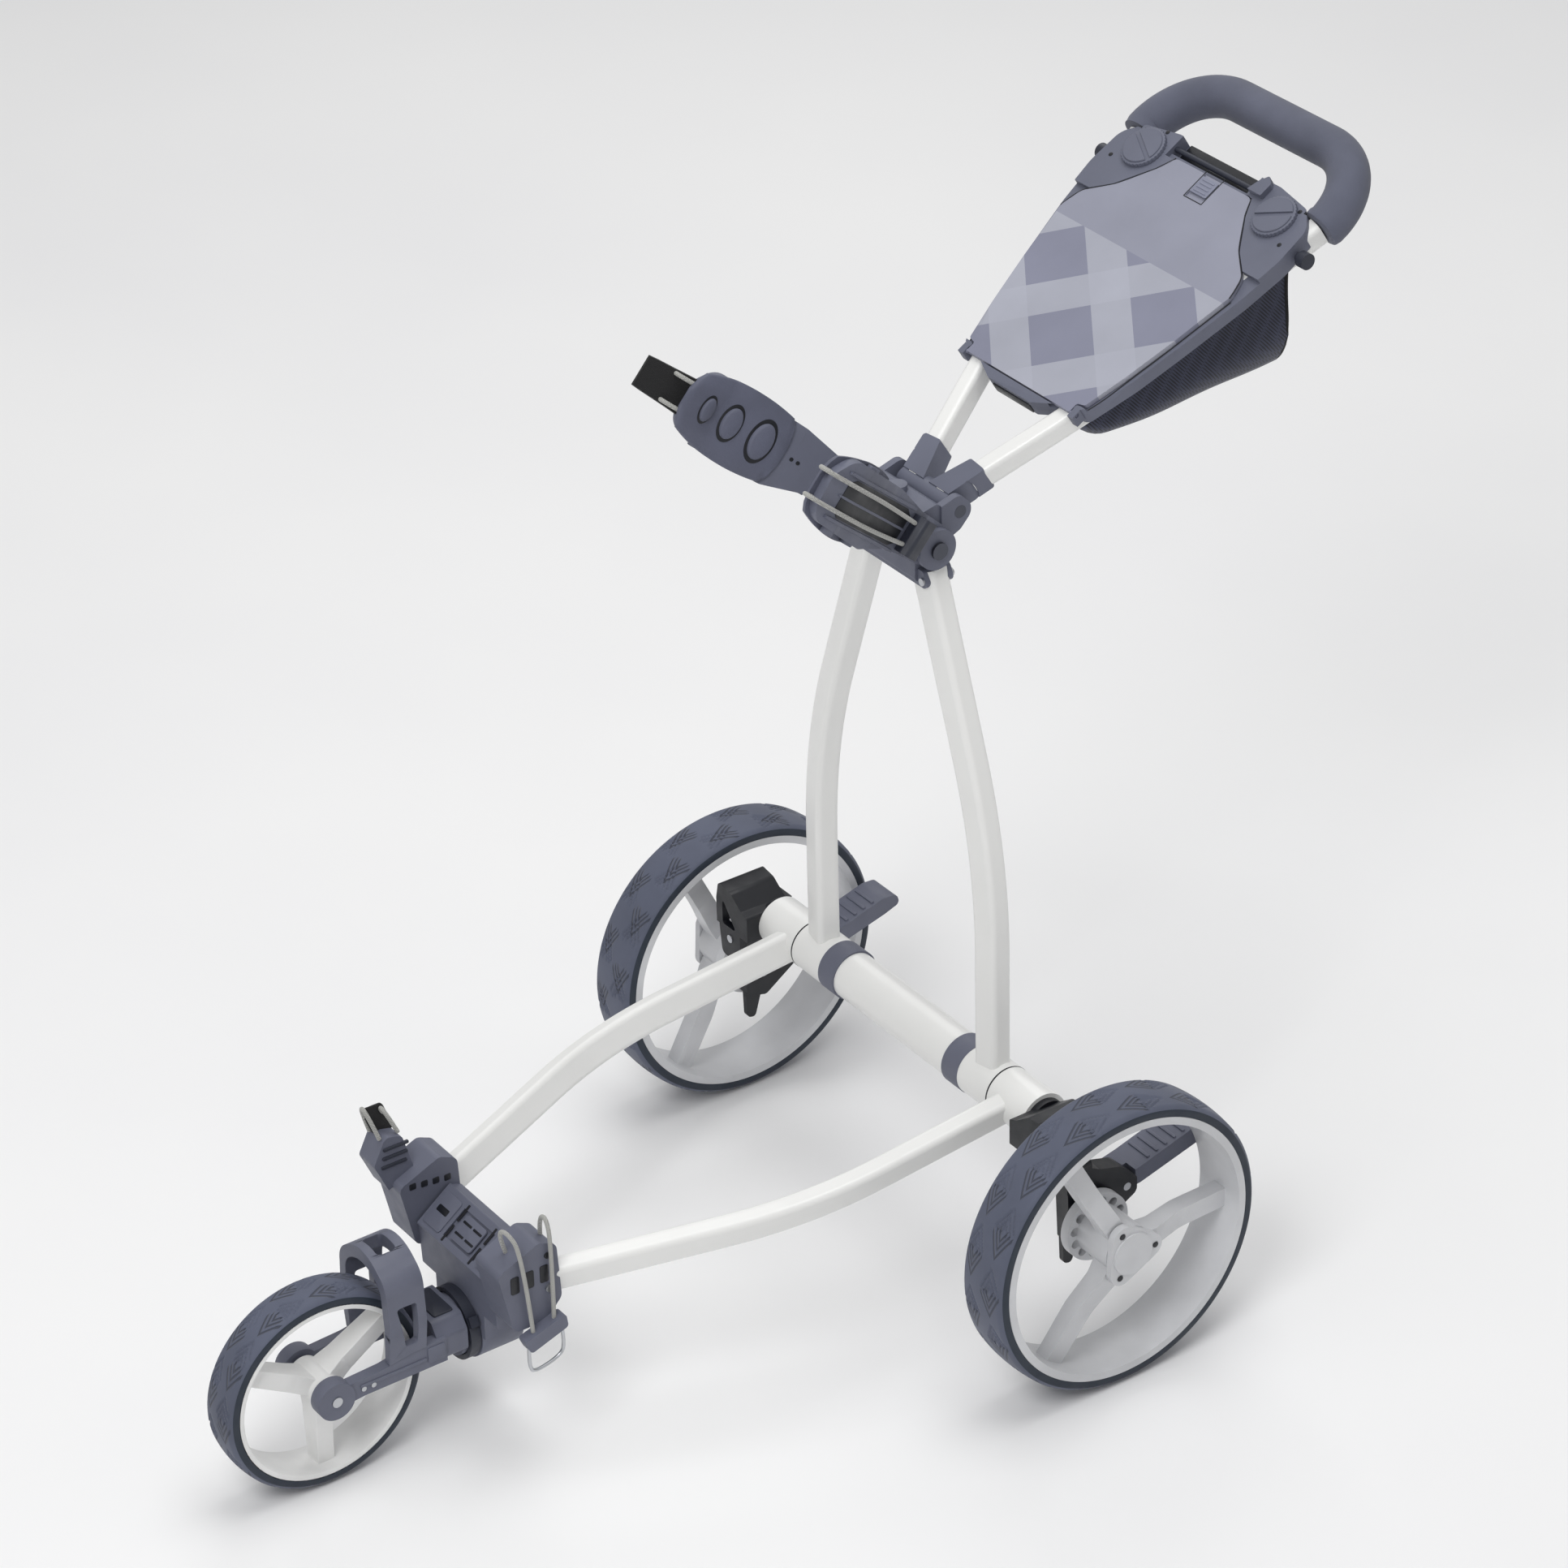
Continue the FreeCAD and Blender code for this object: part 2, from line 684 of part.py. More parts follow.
def build_front_wheel():
    half = sizes.front_width / 2
    y, z = sizes.front_y, sizes.front_radius
    centre = (0, sizes.axle_y + y, z)
    corners = tyre_profile(
        sizes.front_width, sizes.front_radius, sizes.front_face_radius, sizes.front_seat_radius
    )
    revolved_body("front_tyre", corners, centre)
    frame = Placement(Vector(*centre), Rotation())
    drum = cut(
        "front_drum",
        rod("front_drum_outside", "front_seat_radius", "front_width", (-half, 0, 0)),
        rod("front_drum_inside", "front_drum_radius", "front_width + 2", (-half - 1, 0, 0)),
    )
    hub = rod("front_hub", "15", "front_width - 3", (-half + 1.5, 0, 0))
    side = [(8, 16), (8, -16), (30, -12, 20), (85, -9), (85, 9), (30, 12, 20)]
    spokes = [spoke(f"front_spoke_{k}", 30 + 120 * k, side, sizes.front_spoke_width) for k in range(3)]
    bore = rod("front_bore", "front_axle_radius + running_gap", "front_width + 4", (-half - 2, 0, 0))
    finish(cut("front_rim", fuse("front_rim_whole", drum, hub, *spokes), bore), "front_rim", frame)

    # The fork: a stem in the lower bracket, a flange, a yoke and two level arms past the wheel.
    stem = rod("fork_stem", "stem_radius", "58", (0, -512, z), "Y")
    flange = rod("fork_flange", "29", "10", (0, -513, z), "Y")
    yoke_front = [(-34, 92, 6), (34, 92, 6), (34, 116, 6), (24, 130, 6), (-24, 130, 6), (-34, 116, 6)]
    yoke = slab("fork_yoke", yoke_front, on_y(-512), "31")
    arm_side = [(-535, 93), (-620, 93), (y, 90), (y, 110), (-600, 112), (-570, 117), (-535, 118)]
    arms = [slab(f"fork_arm_{k}", arm_side, on_x(start), "11") for k, start in enumerate((25, -36))]
    ends = [rod(f"fork_end_{k}", "18.5", "14", (start, y, z)) for k, start in enumerate((24, -38))]
    axle_hole = rod("fork_axle_hole", "front_axle_radius", "90", (-45, y, z))
    wheel_room = rod("fork_wheel_room", "front_radius + 4", "48", (-24, y, z))
    whole = fuse("fork_whole", stem, flange, yoke, *arms, *ends)
    finish(cut("fork", whole, wheel_room, axle_hole), "fork")
    finish(rod("front_axle", "front_axle_radius", "78", (-39, y, z)), "front_axle")

    # The mudguard stands on the fork's arms as a hoop over the wheel, with a window in each side.
    outline = [(36.4, 112), (42, 150, 60), (39, 198, 24), (0, 228, 40)]
    inner = [(28, 100), (32, 150, 60), (29, 190, 20), (0, 215, 34)]
    outline += [(-x, *rest) for x, *rest in reversed(outline[:-1])]
    inner += [(-x, *rest) for x, *rest in reversed(inner[:-1])]
    hoop = slab("guard_hoop", outline, on_y(-556), "38")
    inside = slab("guard_inside", inner, on_y(-550), "50")
    window_side = [(-585, 172, 3), (-565, 172, 3), (-565, 128, 3), (-577, 128, 3)]
    windows = []
    for k, start in enumerate((20, -50)):
        windows.append(slab(f"guard_window_{k}", window_side, on_x(start), "30"))
    top_window = slab(
        "guard_top_window", [(-14, -585, 4), (14, -585, 4), (14, -566, 4), (-14, -566, 4)], on_z(200), "40"
    )
    arm_space = slab("guard_arms_space", arm_side, on_x(-50), "100")
    finish(cut("mudguard", hoop, inside, *windows, top_window, arm_space), "mudguard")


# ---------------------------------------------------------------- mast


def build_mast():
    tube_bore = "axle_tube_radius + running_gap"
    finish(
        tube_piece("centre_tube", "centre_tube_radius", tube_bore, -sizes.centre_half, "2 * centre_half"),
        "centre_tube",
    )
    rings = [
        tube_piece(f"spacer_ring_{k}", "sleeve_radius + 0.6", tube_bore, start, "ring_end - centre_half")
        for k, start in enumerate((sizes.centre_half, -sizes.ring_end))
    ]
    finish(group("spacer_rings", *rings), "spacer_rings")

    start = Placement(Vector(sizes.mast_leg_x, sizes.mast_leg_y, sizes.tube_z), Rotation())
    path = [(sizes.mast_leg_x, sizes.tube_z), (sizes.mast_leg_x, 458, 570), (42.2, 714)]
    half_width, half_depth = sizes.mast_leg_width / 2, sizes.mast_leg_depth / 2
    outer, bore = bent_tube(
        "mast_leg", path, on_y(sizes.mast_leg_y), start, half_width, half_depth, sizes.mast_leg_turn
    )
    trim = rod("mast_leg_trim", "sleeve_radius - 1", "60", (100, sizes.tube_y, sizes.tube_z))
    leg = cut("mast_leg_tube", outer, bore, trim)
    sleeve_length = "mast_sleeve_end - ring_end"
    sleeve = tube_piece("mast_sleeve", "sleeve_radius", tube_bore, sizes.ring_end, sleeve_length)
    pair(fuse("mast_leg", leg, sleeve), "mast_leg")

    # The head: a shoe over the tops of both legs, a block above it and two ears for the handle's pin.
    pivot = (sizes.handle_y, sizes.handle_z)
    cradle_line = (sizes.cradle_y, sizes.cradle_z)
    shoe = slab("head_shoe", [(-60, 703, 5), (60, 703, 5), (52, 719, 4), (-52, 719, 4)], on_y(8), "29")
    body_side = [(-24, 706, 5), (7.5, 706), (7.5, 770, 4), (0, 775, 6), (-22, 770, 10)]
    body = slab("head_block", body_side, on_x(-44), "88")
    ear_side = [(4, 735), (24, 744, 10), (40, 761, 12), (24, 778, 10), (4, 772)]
    ears = [slab(f"head_ear_{k}", ear_side, on_x(start), "7.5") for k, start in enumerate((38.5, -46))]
    hinge_room = rod("head_hinge_room", "13.6", "67", (-33.5, *pivot))
    button_bore = rod("head_button_bore", "9.05", "30", (0, sizes.head_y, 760), "Z")
    pin_bore = rod("head_pin_bore", "fold_pin_radius", "100", (-50, *pivot))
    shaft_bore = rod("head_shaft_bore", "cradle_shaft_radius", "140", (-70, *cradle_line))
    other = doc.addObject("Part::Mirroring", "head_socket_right")
    other.Source = outer
    other.Normal = X_AXIS
    whole = fuse("head_whole", shoe, body, *ears)
    finish(
        cut("mast_head", whole, outer, other, hinge_room, button_bore, pin_bore, shaft_bore), "mast_head"
    )
    finish(rod("handle_pin", "fold_pin_radius", "92.4", (-46.2, *pivot)), "handle_pin")
    shaft = rod("shaft_middle", "cradle_shaft_radius", "132", (-66, *cradle_line))
    caps = [rod(f"shaft_cap_{k}", "8", "2.5", (x, *cradle_line)) for k, x in enumerate((63.5, -66))]
    finish(fuse("cradle_shaft", shaft, *caps), "cradle_shaft")
    screws = []
    for k, x in enumerate((52, -52)):
        screws.append(rod(f"mast_screw_{k}", "3.6", "2.2", (x, -23.2, 709.5), "Y"))
        screws.append(rod(f"mast_screw_back_{k}", "3.6", "2.2", (x, 8, 709.5), "Y"))
    finish(group("mast_screws", *screws), "mast_screws")
    finish(rod("fold_button", "9", "14", (0, sizes.head_y, 766), "Z"), "fold_button")


# ---------------------------------------------------------------- upper bag cradle


def cradle_strip(name, near, far, low, high, height):
    """An upright strip between two offsets of the arm's line, which runs out sideways as it goes along."""
    line = [(0, low), (0, 22, 40), (20, 92, 120), (47, 160, 90), (47 + (high - 160) * 0.1, high)]
    if low > 22:
        line = [((low - 22) * 20 / 70, low)] + line[2:]
    corners = [(far + x, *rest) for x, *rest in line] + [(near + x, *rest) for x, *rest in reversed(line)]
    return slab(name, corners, on_z(-height / 2), str(height))


def build_cradle():
    """Two arms swing on the shaft. Local axes: X, along the arm (second), and the arm's height (third)."""
    arm_side = [
        (-19, -12, 12),
        (-8, -20, 12),
        (40, -22, 10),
        (86, -30, 20),
        (178, -33, 22),
        (195, -12, 18),
        (192, 28, 18),
        (100, 33, 20),
        (60, 21, 30),
        (8, 20, 16),
        (-19, 12, 12),
    ]
    arm = common(
        "arm_left_shape",
        cradle_strip("arm_left_strip", 46.5, 56.5, -22, 200, 90),
        slab("arm_left_side", arm_side, on_x(30), "110"),
    )
    hub = rod("arm_left_hub", "19", "16", (46.5, 0, 0))
    bore = rod("arm_left_bore", "cradle_shaft_radius + running_gap", "30", (40, 0, 0))
    cap_room = rod("arm_left_cap_room", "9", "20", (63, 0, 0))
    pair(cut("cradle_arm", fuse("arm_left_whole", arm, hub), bore, cap_room), "cradle_arm", CRADLE_FRAME)

    pad_side = [(94, -35, 14), (180, -38, 26), (201, -12, 22), (198, 30, 22), (178, 39, 16), (96, 38, 10)]
    pad = common(
        "pad_left",
        cradle_strip("pad_strip", 42.5, 46.5, 60, 203, 100),
        slab("pad_side", pad_side, on_x(30), "110"),
    )
    other = doc.addObject("Part::Mirroring", "pad_right")
    other.Source = pad
    other.Normal = X_AXIS
    finish(group("cradle_pads", pad, other), "cradle_pads", CRADLE_FRAME)

    # Two cords a side run from the arm's tip down its outer face to a hook block near the hub.
    cords, cord_rooms = [], []
    for height in (13, -13):
        for sign in (1, -1):
            points = [
                (sign * 98.5, 192, height),
                (sign * 102, 213, height),
                (sign * 116, 210, height),
                (sign * 112, 168, height),
                (sign * 92, 105, height),
                (sign * 70, 48.2, height * 0.8),
            ]
            shape = cord_solid(points, (5, 6, 60, 90), sizes.cord_radius)
            cords.append(free_shape(f"cradle_cord_{len(cords)}", shape))
            if sign < 0:
                room = cord_solid(points, (5, 6, 60, 90), sizes.cord_radius + 0.4)
                cord_rooms.append(free_shape(f"cradle_cord_room_{len(cord_rooms)}", room))
    finish(group("cradle_cords", *cords), "cradle_cords", CRADLE_FRAME)

    strap = slab(
        "cradle_strap_plate", [(-111, 198), (-107.5, 198), (-112.5, 243), (-116, 243)], on_z(-20), "40"
    )
    strap_root = slab(
        "cradle_strap_root", [(-111, 200), (-101, 186), (-100, 190), (-107.5, 204)], on_z(-20), "40"
    )
    arm_space = doc.addObject("Part::Mirroring", "cradle_strap_space")
    arm_space.Source = arm
    arm_space.Normal = X_AXIS
    whole = fuse("cradle_strap_whole", strap, strap_root)
    finish(cut("cradle_strap", whole, arm_space, *cord_rooms), "cradle_strap", CRADLE_FRAME)

    clips = []
    outline = [(58.2, 28), (75, 28, 4), (79, 44, 4), (72, 48, 3), (63.9, 48)]
    for k, (sign, arm_room) in enumerate(((1, arm), (-1, arm_space))):
        plate = slab(f"cradle_clip_plate_{k}", [(sign * u, *rest) for u, *rest in outline], on_z(-18), "36")
        clips.append(cut(f"cradle_clip_{k}", plate, arm_room))
    finish(group("cradle_clips", *clips), "cradle_clips", CRADLE_FRAME)


# ---------------------------------------------------------------- handle and console


def handle_leg_sweeps(name):
    """The handle leg's outer solid and its bore, in the handle's own plane."""
    path = [(19, 0), (76, 158, 900), (124, 386)]
    first = math.degrees(math.atan2(path[1][0] - path[0][0], path[1][1]))
    start = Placement(Vector(19, 0, 0), Rotation(Z_AXIS, -first).multiply(Rotation(X_AXIS, 90)))
    half_width, half_depth = sizes.handle_leg_width / 2, sizes.handle_leg_depth / 2
    return bent_tube(name, path, on_z(0), start, half_width, half_depth, 0)


def handle_leg_spaces(name):
    """The outer solids of both handle legs, for cutting their room out of another piece."""
    left, _ = handle_leg_sweeps(name)
    right = doc.addObject("Part::Mirroring", name + "_right")
    right.Source = left
    right.Normal = X_AXIS
    return left, right


CONSOLE_HALF = [
    (30, 112),
    (60, 125, 4),
    (84, 129, 8),
    (100, 176, 80),
    (112, 226, 200),
    (126, 291, 120),
    (132, 336, 60),
    (130, 374, 20),
    (112, 391, 12),
    (70, 398, 10),
]
LID_HALF = [
    (74, 123, 0.5),
    (74, 133, 2),
    (83, 135, 3),
    (95, 176, 80),
    (107, 226, 200),
    (119, 286, 10),
    (112, 308, 12),
    (88, 326, 20),
    (62, 358, 16),
    (52, 376, 8),
]


def both_sides(half):
    """A symmetrical outline from its +X half."""
    return list(half) + [(-c[0], *c[1:]) for c in reversed(half)]


def build_handle():
    barrel = rod("handle_hinge_barrel", "12", "66", (-33, 0, 0))
    shoes = []
    for k, sign in enumerate((1, -1)):
        corners = [(sign * 4, 4), (sign * 33, 4), (sign * 44, 40, 3), (sign * 22, 42, 3)]
        shoes.append(slab(f"handle_shoe_{k}", corners, on_z(-11), "23.5"))
    hinge_bore = rod("handle_hinge_bore", "fold_pin_radius + running_gap", "80", (-40, 0, 0))
    outer, bore = handle_leg_sweeps("handle_leg")
    near_trim = rod("handle_leg_trim", "12", "90", (-45, 0, 0))
    pair(cut("handle_leg_tube", outer, bore, near_trim), "handle_leg", HANDLE_FRAME)
    spaces = handle_leg_spaces("hinge_leg_space")
    ear_rooms = [rod(f"handle_ear_room_{k}", "26", "12", (x, 0, 0)) for k, x in enumerate((38, -50))]
    hinge = cut("handle_hinge", fuse("handle_hinge_whole", barrel, *shoes), *spaces, *ear_rooms, hinge_bore)
    finish(hinge, "handle_hinge", HANDLE_FRAME)

    path = [(124, 387), (126, 459.5, 65), (-126, 459.5, 65), (-124, 387)]
    lean = math.degrees(math.atan2(path[1][0] - path[0][0], path[1][1] - path[0][1]))
    circle = doc.addObject("Sketcher::SketchObject", "grip_section")
    circle.addGeometry(Part.Circle(Vector(0, 0, 0), Z_AXIS, sizes.grip_radius), False)
    circle.Placement = Placement(
        Vector(124, 387, 0), Rotation(Z_AXIS, -lean).multiply(Rotation(X_AXIS, 90))
    )
    grip = sweep("handle_grip", sketch("grip_path", path, on_z(0), closed=False), circle)
    finish(grip, "handle_grip", HANDLE_FRAME)

    build_console()
    build_lid()
    build_net_bag()


def build_console():
    """The tray lies over the legs, with a tub between them. Two raised caps on it hold the knobs."""
    outline = both_sides(CONSOLE_HALF)
    plate = slab("console_plate", outline, on_z(sizes.tray_low), "tray_high - tray_low")
    shoulders = slab("console_shoulders", outline, on_z(sizes.tray_high), "lid_high - tray_high")
    lid_room_half = [
        (x + 0.8, along + (0.8 if along > 290 else -1.6), *rest) for x, along, *rest in LID_HALF
    ]
    lid_room = slab("console_lid_room", both_sides(lid_room_half), on_z(sizes.tray_high), "12")
    side_room = [
        block(f"console_side_room_{k}", ("60", "180", "12"), (x, 132.5, sizes.tray_high))
        for k, x in enumerate((80, -140))
    ]
    rim = cut("console_rim", shoulders, lid_room, *side_room)
    low_zone = block("console_low_zone", ("300", "130", "12"), (-150, 100, sizes.tray_high))
    high_zone = block("console_high_zone", ("300", "200", "12"), (-150, 230, sizes.tray_high))
    lip = cut("console_lip", rim, high_zone)
    tub = slab(
        "console_tub",
        [(-46, 144, 8), (46, 144, 8), (62, 226), (72, 326, 8), (-72, 326, 8), (-62, 226)],
        on_z(sizes.tub_low),
        "tray_low - tub_low + 4",
    )
    hollow = slab(
        "console_hollow",
        [(-42, 148, 6), (42, 148, 6), (58.5, 226), (68, 322, 6), (-68, 322, 6), (-58.5, 226)],
        on_z(sizes.tub_low + 3),
        "40",
    )
    recess = slab("console_recess", [(-66, 380), (44, 380), (44, 410), (-66, 410)], on_z(2), "30")
    spindle_bores = [
        rod(f"console_knob_bore_{k}", "5 + running_gap", "16", (x, sizes.knob_along, 4), "Z")
        for k, x in enumerate((sizes.knob_x, -sizes.knob_x))
    ]
    horn_outline = [(46, 380), (64, 380), (64, 394, 3), (56, 400, 2), (50, 392)]
    horn = slab("console_horn", horn_outline, on_z(sizes.lid_high - 2), "8")

    cap_gap = block("console_cap_gap", ("110", "40", "14"), (-66, 374, sizes.tray_high))

    # Two lugs hold the lid's trunnions, and a groove under them lets the lid's lower edge turn.
    along, height = sizes.lid_hinge_along, sizes.lid_hinge_height
    lugs, hinge_bores = [], []
    for k, x in enumerate((75.5, -82.5)):
        lugs.append(block(f"console_lug_{k}", ("7", "10", "12"), (x, along - 5, sizes.lid_high - 12)))
        hinge_bores.append(rod(f"console_hinge_bore_{k}", "2 + running_gap", "9", (x - 1, along, height)))
    hinge_groove = block("console_hinge_groove", ("151", "8", "6"), (-75.5, along - 4.5, 10))
    grip_room = [
        rod(f"console_grip_room_{k}", "grip_radius + 0.4", "70", (x, 386, 0), "Y")
        for k, x in enumerate((124, -124))
    ]
    caps = cut(
        "console_caps",
        fuse("console_caps_whole", cut("console_caps_rim", rim, low_zone), horn),
        cap_gap,
        *spindle_bores,
        *grip_room,
    )
    whole = cut("console_grooved", fuse("console_whole", plate, lip, tub), hinge_groove)
    legs = handle_leg_spaces("console_leg_space")
    tray = cut(
        "console_tray",
        fuse("console_with_lugs", whole, *lugs),
        hollow,
        recess,
        *spindle_bores,
        *hinge_bores,
        *legs,
        *grip_room,
    )
    finish(group("console_base", tray, caps), "console_base", HANDLE_FRAME)

    finish(rod("card_rod", "2.6", "110", (-66, 386, 11)), "card_rod", HANDLE_FRAME)
    trim = slab("stud_trim", outline, on_z(-20), "50")
    studs = []
    for k, sign in enumerate((1, -1)):
        neck_start = (120 if sign > 0 else -138, sizes.stud_along, sizes.stud_height)
        head_start = (136 if sign > 0 else -145, sizes.stud_along, sizes.stud_height)
        neck = rod(f"stud_neck_{k}", "4", "18", neck_start)
        head = rod(f"stud_head_{k}", "stud_radius", "9", head_start)
        studs.append(fuse(f"stud_{k}", neck, head))
    finish(cut("accessory_studs", group("studs_whole", *studs), trim), "accessory_studs", HANDLE_FRAME)


def build_lid():
    along, height = sizes.lid_hinge_along, sizes.lid_hinge_height
    plate = slab("console_lid_plate", both_sides(LID_HALF), on_z(sizes.lid_low), "lid_high - lid_low")
    trunnions = [rod(f"lid_trunnion_{k}", "2", "8", (x, along, height)) for k, x in enumerate((73, -81))]
    latch_room = block("lid_latch_room", ("23", "30", "10"), (-11.5, 349.5, 14.4))
    lid = cut("console_lid", fuse("console_lid_whole", plate, *trunnions), latch_room)
    finish(lid, "console_lid", HANDLE_FRAME)
    finish(block("lid_latch", ("22", "18", "2.4"), (-11, 355, 14.9)), "lid_latch", HANDLE_FRAME)
    for side, sign in (("left", 1), ("right", -1)):
        place = (sign * sizes.knob_x, sizes.knob_along)
        disc = rod("knob_disc_" + side, "knob_radius", "5.5", (*place, sizes.lid_high + 0.3), "Z")
        spindle = rod("knob_spindle_" + side, "5", "14", (*place, 4.5), "Z")
        finish(fuse("console_knob_" + side, disc, spindle), "console_knob_" + side, HANDLE_FRAME)


# The net bag's upright sections: how far behind the axle, its floor's height, and half its width.
NET_SECTIONS = [(150, 800, 50), (165, 787, 52), (198, 783, 57), (270, 795, 70), (358, 813, 84)]


def build_net_bag():
    """A bag under the console, built from upright sections; its upper end is open."""
    rise = math.tan(math.radians(sizes.handle_slope))
    drop = -sizes.tub_low / math.cos(math.radians(sizes.handle_slope))

    def section(name, y, floor, half, inset):
        top = sizes.handle_z + (y - sizes.handle_y) * rise - drop - inset
        low, wide = floor + inset, half - inset
        corners = [(-wide, top), (-0.92 * wide, low, 5), (0.92 * wide, low, 5), (wide, top)]
        return sketch(name, corners, on_y(y))

    def solid(name, inset):
        outlines = []
        for k, (y, floor, half) in enumerate(NET_SECTIONS):
            if inset and k == 0:
                y += inset
            outlines.append(section(f"{name}_{k}", y, floor, half, inset))
        return loft(name, *outlines)

    finish(cut("net_bag", solid("net_outside", 0), solid("net_inside", sizes.net_skin)), "net_bag")



build_rear_wheels()
build_wheel_arms()
build_base()
build_lower_bracket()
build_front_wheel()
build_mast()
build_cradle()
build_handle()
doc.recompute()

failed = [o.Name for o in doc.Objects if "Invalid" in o.State or "Error" in o.State]
if failed:
    raise SystemExit(f"failed objects: {failed}")
for part in sub_parts:
    if part.Shape.isNull() or not part.Shape.isValid():
        raise SystemExit(f"{part.Label} has no valid shape")

os.makedirs("parts", exist_ok=True)
for part in sub_parts:
    part.Shape.exportStep(os.path.join("parts", part.Label + ".step"))
print(len(sub_parts), "sub-parts")
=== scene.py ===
import json
import math

import bmesh
import bpy
from mathutils import Matrix, Vector


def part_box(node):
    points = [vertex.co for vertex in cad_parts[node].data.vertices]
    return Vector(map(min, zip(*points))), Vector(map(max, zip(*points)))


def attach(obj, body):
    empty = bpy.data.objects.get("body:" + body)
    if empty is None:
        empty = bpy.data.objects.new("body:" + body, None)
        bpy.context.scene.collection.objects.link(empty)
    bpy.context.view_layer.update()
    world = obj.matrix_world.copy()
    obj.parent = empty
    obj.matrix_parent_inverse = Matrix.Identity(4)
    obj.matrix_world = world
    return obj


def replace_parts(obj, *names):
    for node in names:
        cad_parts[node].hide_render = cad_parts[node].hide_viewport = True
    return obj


# Looks of a three-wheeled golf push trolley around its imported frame. Lengths in the helpers below are in
# millimetres; MM turns them into the frame's metres.

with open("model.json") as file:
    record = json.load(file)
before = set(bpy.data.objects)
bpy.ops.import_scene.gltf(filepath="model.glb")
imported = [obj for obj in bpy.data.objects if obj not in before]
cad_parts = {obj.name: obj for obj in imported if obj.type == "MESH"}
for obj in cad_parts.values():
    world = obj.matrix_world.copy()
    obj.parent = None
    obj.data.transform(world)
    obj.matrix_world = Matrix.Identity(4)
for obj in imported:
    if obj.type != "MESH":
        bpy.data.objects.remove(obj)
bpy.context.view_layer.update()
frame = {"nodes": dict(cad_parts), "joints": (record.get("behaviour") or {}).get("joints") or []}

MM = 0.001
JOINTS = {joint["name"]: joint for joint in frame["joints"]}
SIDES = (("left", 1), ("right", -1))

AXLE = Vector(JOINTS["rear_wheel_spin_left"]["pos_m"])
HANDLE_PIVOT = Vector(JOINTS["handle_fold"]["pos_m"])
HANDLE_ALONG = -Vector(JOINTS["latch_slide"]["axis"])
HANDLE_NORMAL = Vector((1, 0, 0)).cross(HANDLE_ALONG)
CRADLE_PIVOT = Vector(JOINTS["cradle_tilt"]["pos_m"])
CRADLE_SLOPE = math.radians(41)
CRADLE_ALONG = Vector((0, -math.cos(CRADLE_SLOPE), math.sin(CRADLE_SLOPE)))
CRADLE_HEIGHT = Vector((1, 0, 0)).cross(CRADLE_ALONG)


def axle(x, y, z):
    """A point given from the rear axle line (Y) and the ground (Z)."""
    return Vector((x * MM, AXLE.y + y * MM, z * MM))


def handle(x, along, height):
    """A point given in the handle's plane from its pivot."""
    return HANDLE_PIVOT + Vector((x * MM, 0, 0)) + HANDLE_ALONG * along * MM + HANDLE_NORMAL * height * MM


def cradle(x, along, height):
    """A point given along a cradle arm from the cradle's shaft."""
    return CRADLE_PIVOT + Vector((x * MM, 0, 0)) + CRADLE_ALONG * along * MM + CRADLE_HEIGHT * height * MM


# ---------------------------------------------------------------- materials


class Shader:
    """A small helper that builds one node material."""

    def __init__(self, name, roughness, metallic=0.0, coat=0.0, sheen=0.0):
        self.material = bpy.data.materials.new(name)
        self.material.use_nodes = True
        self.tree = self.material.node_tree
        self.base = self.tree.nodes["Principled BSDF"]
        self.base.inputs["Roughness"].default_value = roughness
        self.base.inputs["Metallic"].default_value = metallic
        self.base.inputs["Coat Weight"].default_value = coat
        self.base.inputs["Sheen Weight"].default_value = sheen
        self.place = self.tree.nodes.new("ShaderNodeTexCoord").outputs["Object"]

    def node(self, kind, **inputs):
        made = self.tree.nodes.new(kind)
        for name, value in inputs.items():
            self.feed(made.inputs[name.replace("_", " ")], value)
        return made

    def feed(self, socket, value):
        if isinstance(value, bpy.types.NodeSocket):
            self.tree.links.new(value, socket)
        else:
            socket.default_value = value

    def maths(self, operation, first, second=0.0, third=0.0):
        made = self.tree.nodes.new("ShaderNodeMath")
        made.operation = operation
        for socket, value in zip(made.inputs, (first, second, third)):
            self.feed(socket, value)
        return made.outputs[0]

    def dot(self, vector, direction):
        made = self.tree.nodes.new("ShaderNodeVectorMath")
        made.operation = "DOT_PRODUCT"
        self.feed(made.inputs[0], vector)
        made.inputs[1].default_value = direction
        return made.outputs["Value"]

    def noise(self, scale, detail=3.0):
        return self.node("ShaderNodeTexNoise", Vector=self.place, Scale=scale, Detail=detail).outputs["Fac"]

    def cells(self, scale):
        return self.node("ShaderNodeTexVoronoi", Vector=self.place, Scale=scale).outputs["Distance"]

    def spread(self, value, low, high, to_low, to_high):
        made = self.node(
            "ShaderNodeMapRange", Value=value, From_Min=low, From_Max=high, To_Min=to_low, To_Max=to_high
        )
        return made.outputs["Result"]

    def mix(self, factor, first, second):
        made = self.tree.nodes.new("ShaderNodeMix")
        made.data_type = "RGBA"
        self.feed(made.inputs["Factor"], factor)
        self.feed(made.inputs["A"], first)
        self.feed(made.inputs["B"], second)
        return made.outputs["Result"]

    def colour(self, value):
        self.feed(self.base.inputs["Base Color"], value)

    def rough(self, value):
        self.feed(self.base.inputs["Roughness"], value)

    def bump(self, height, strength, distance):
        made = self.node("ShaderNodeBump", Strength=strength, Distance=distance * MM, Height=height)
        self.feed(self.base.inputs["Normal"], made.outputs["Normal"])


def rgba(red, green, blue):
    """A colour as it looks on a screen, 0 to 255, in the linear values that a shader takes."""
    return (*[pow(value / 255, 2.2) for value in (red, green, blue)], 1.0)


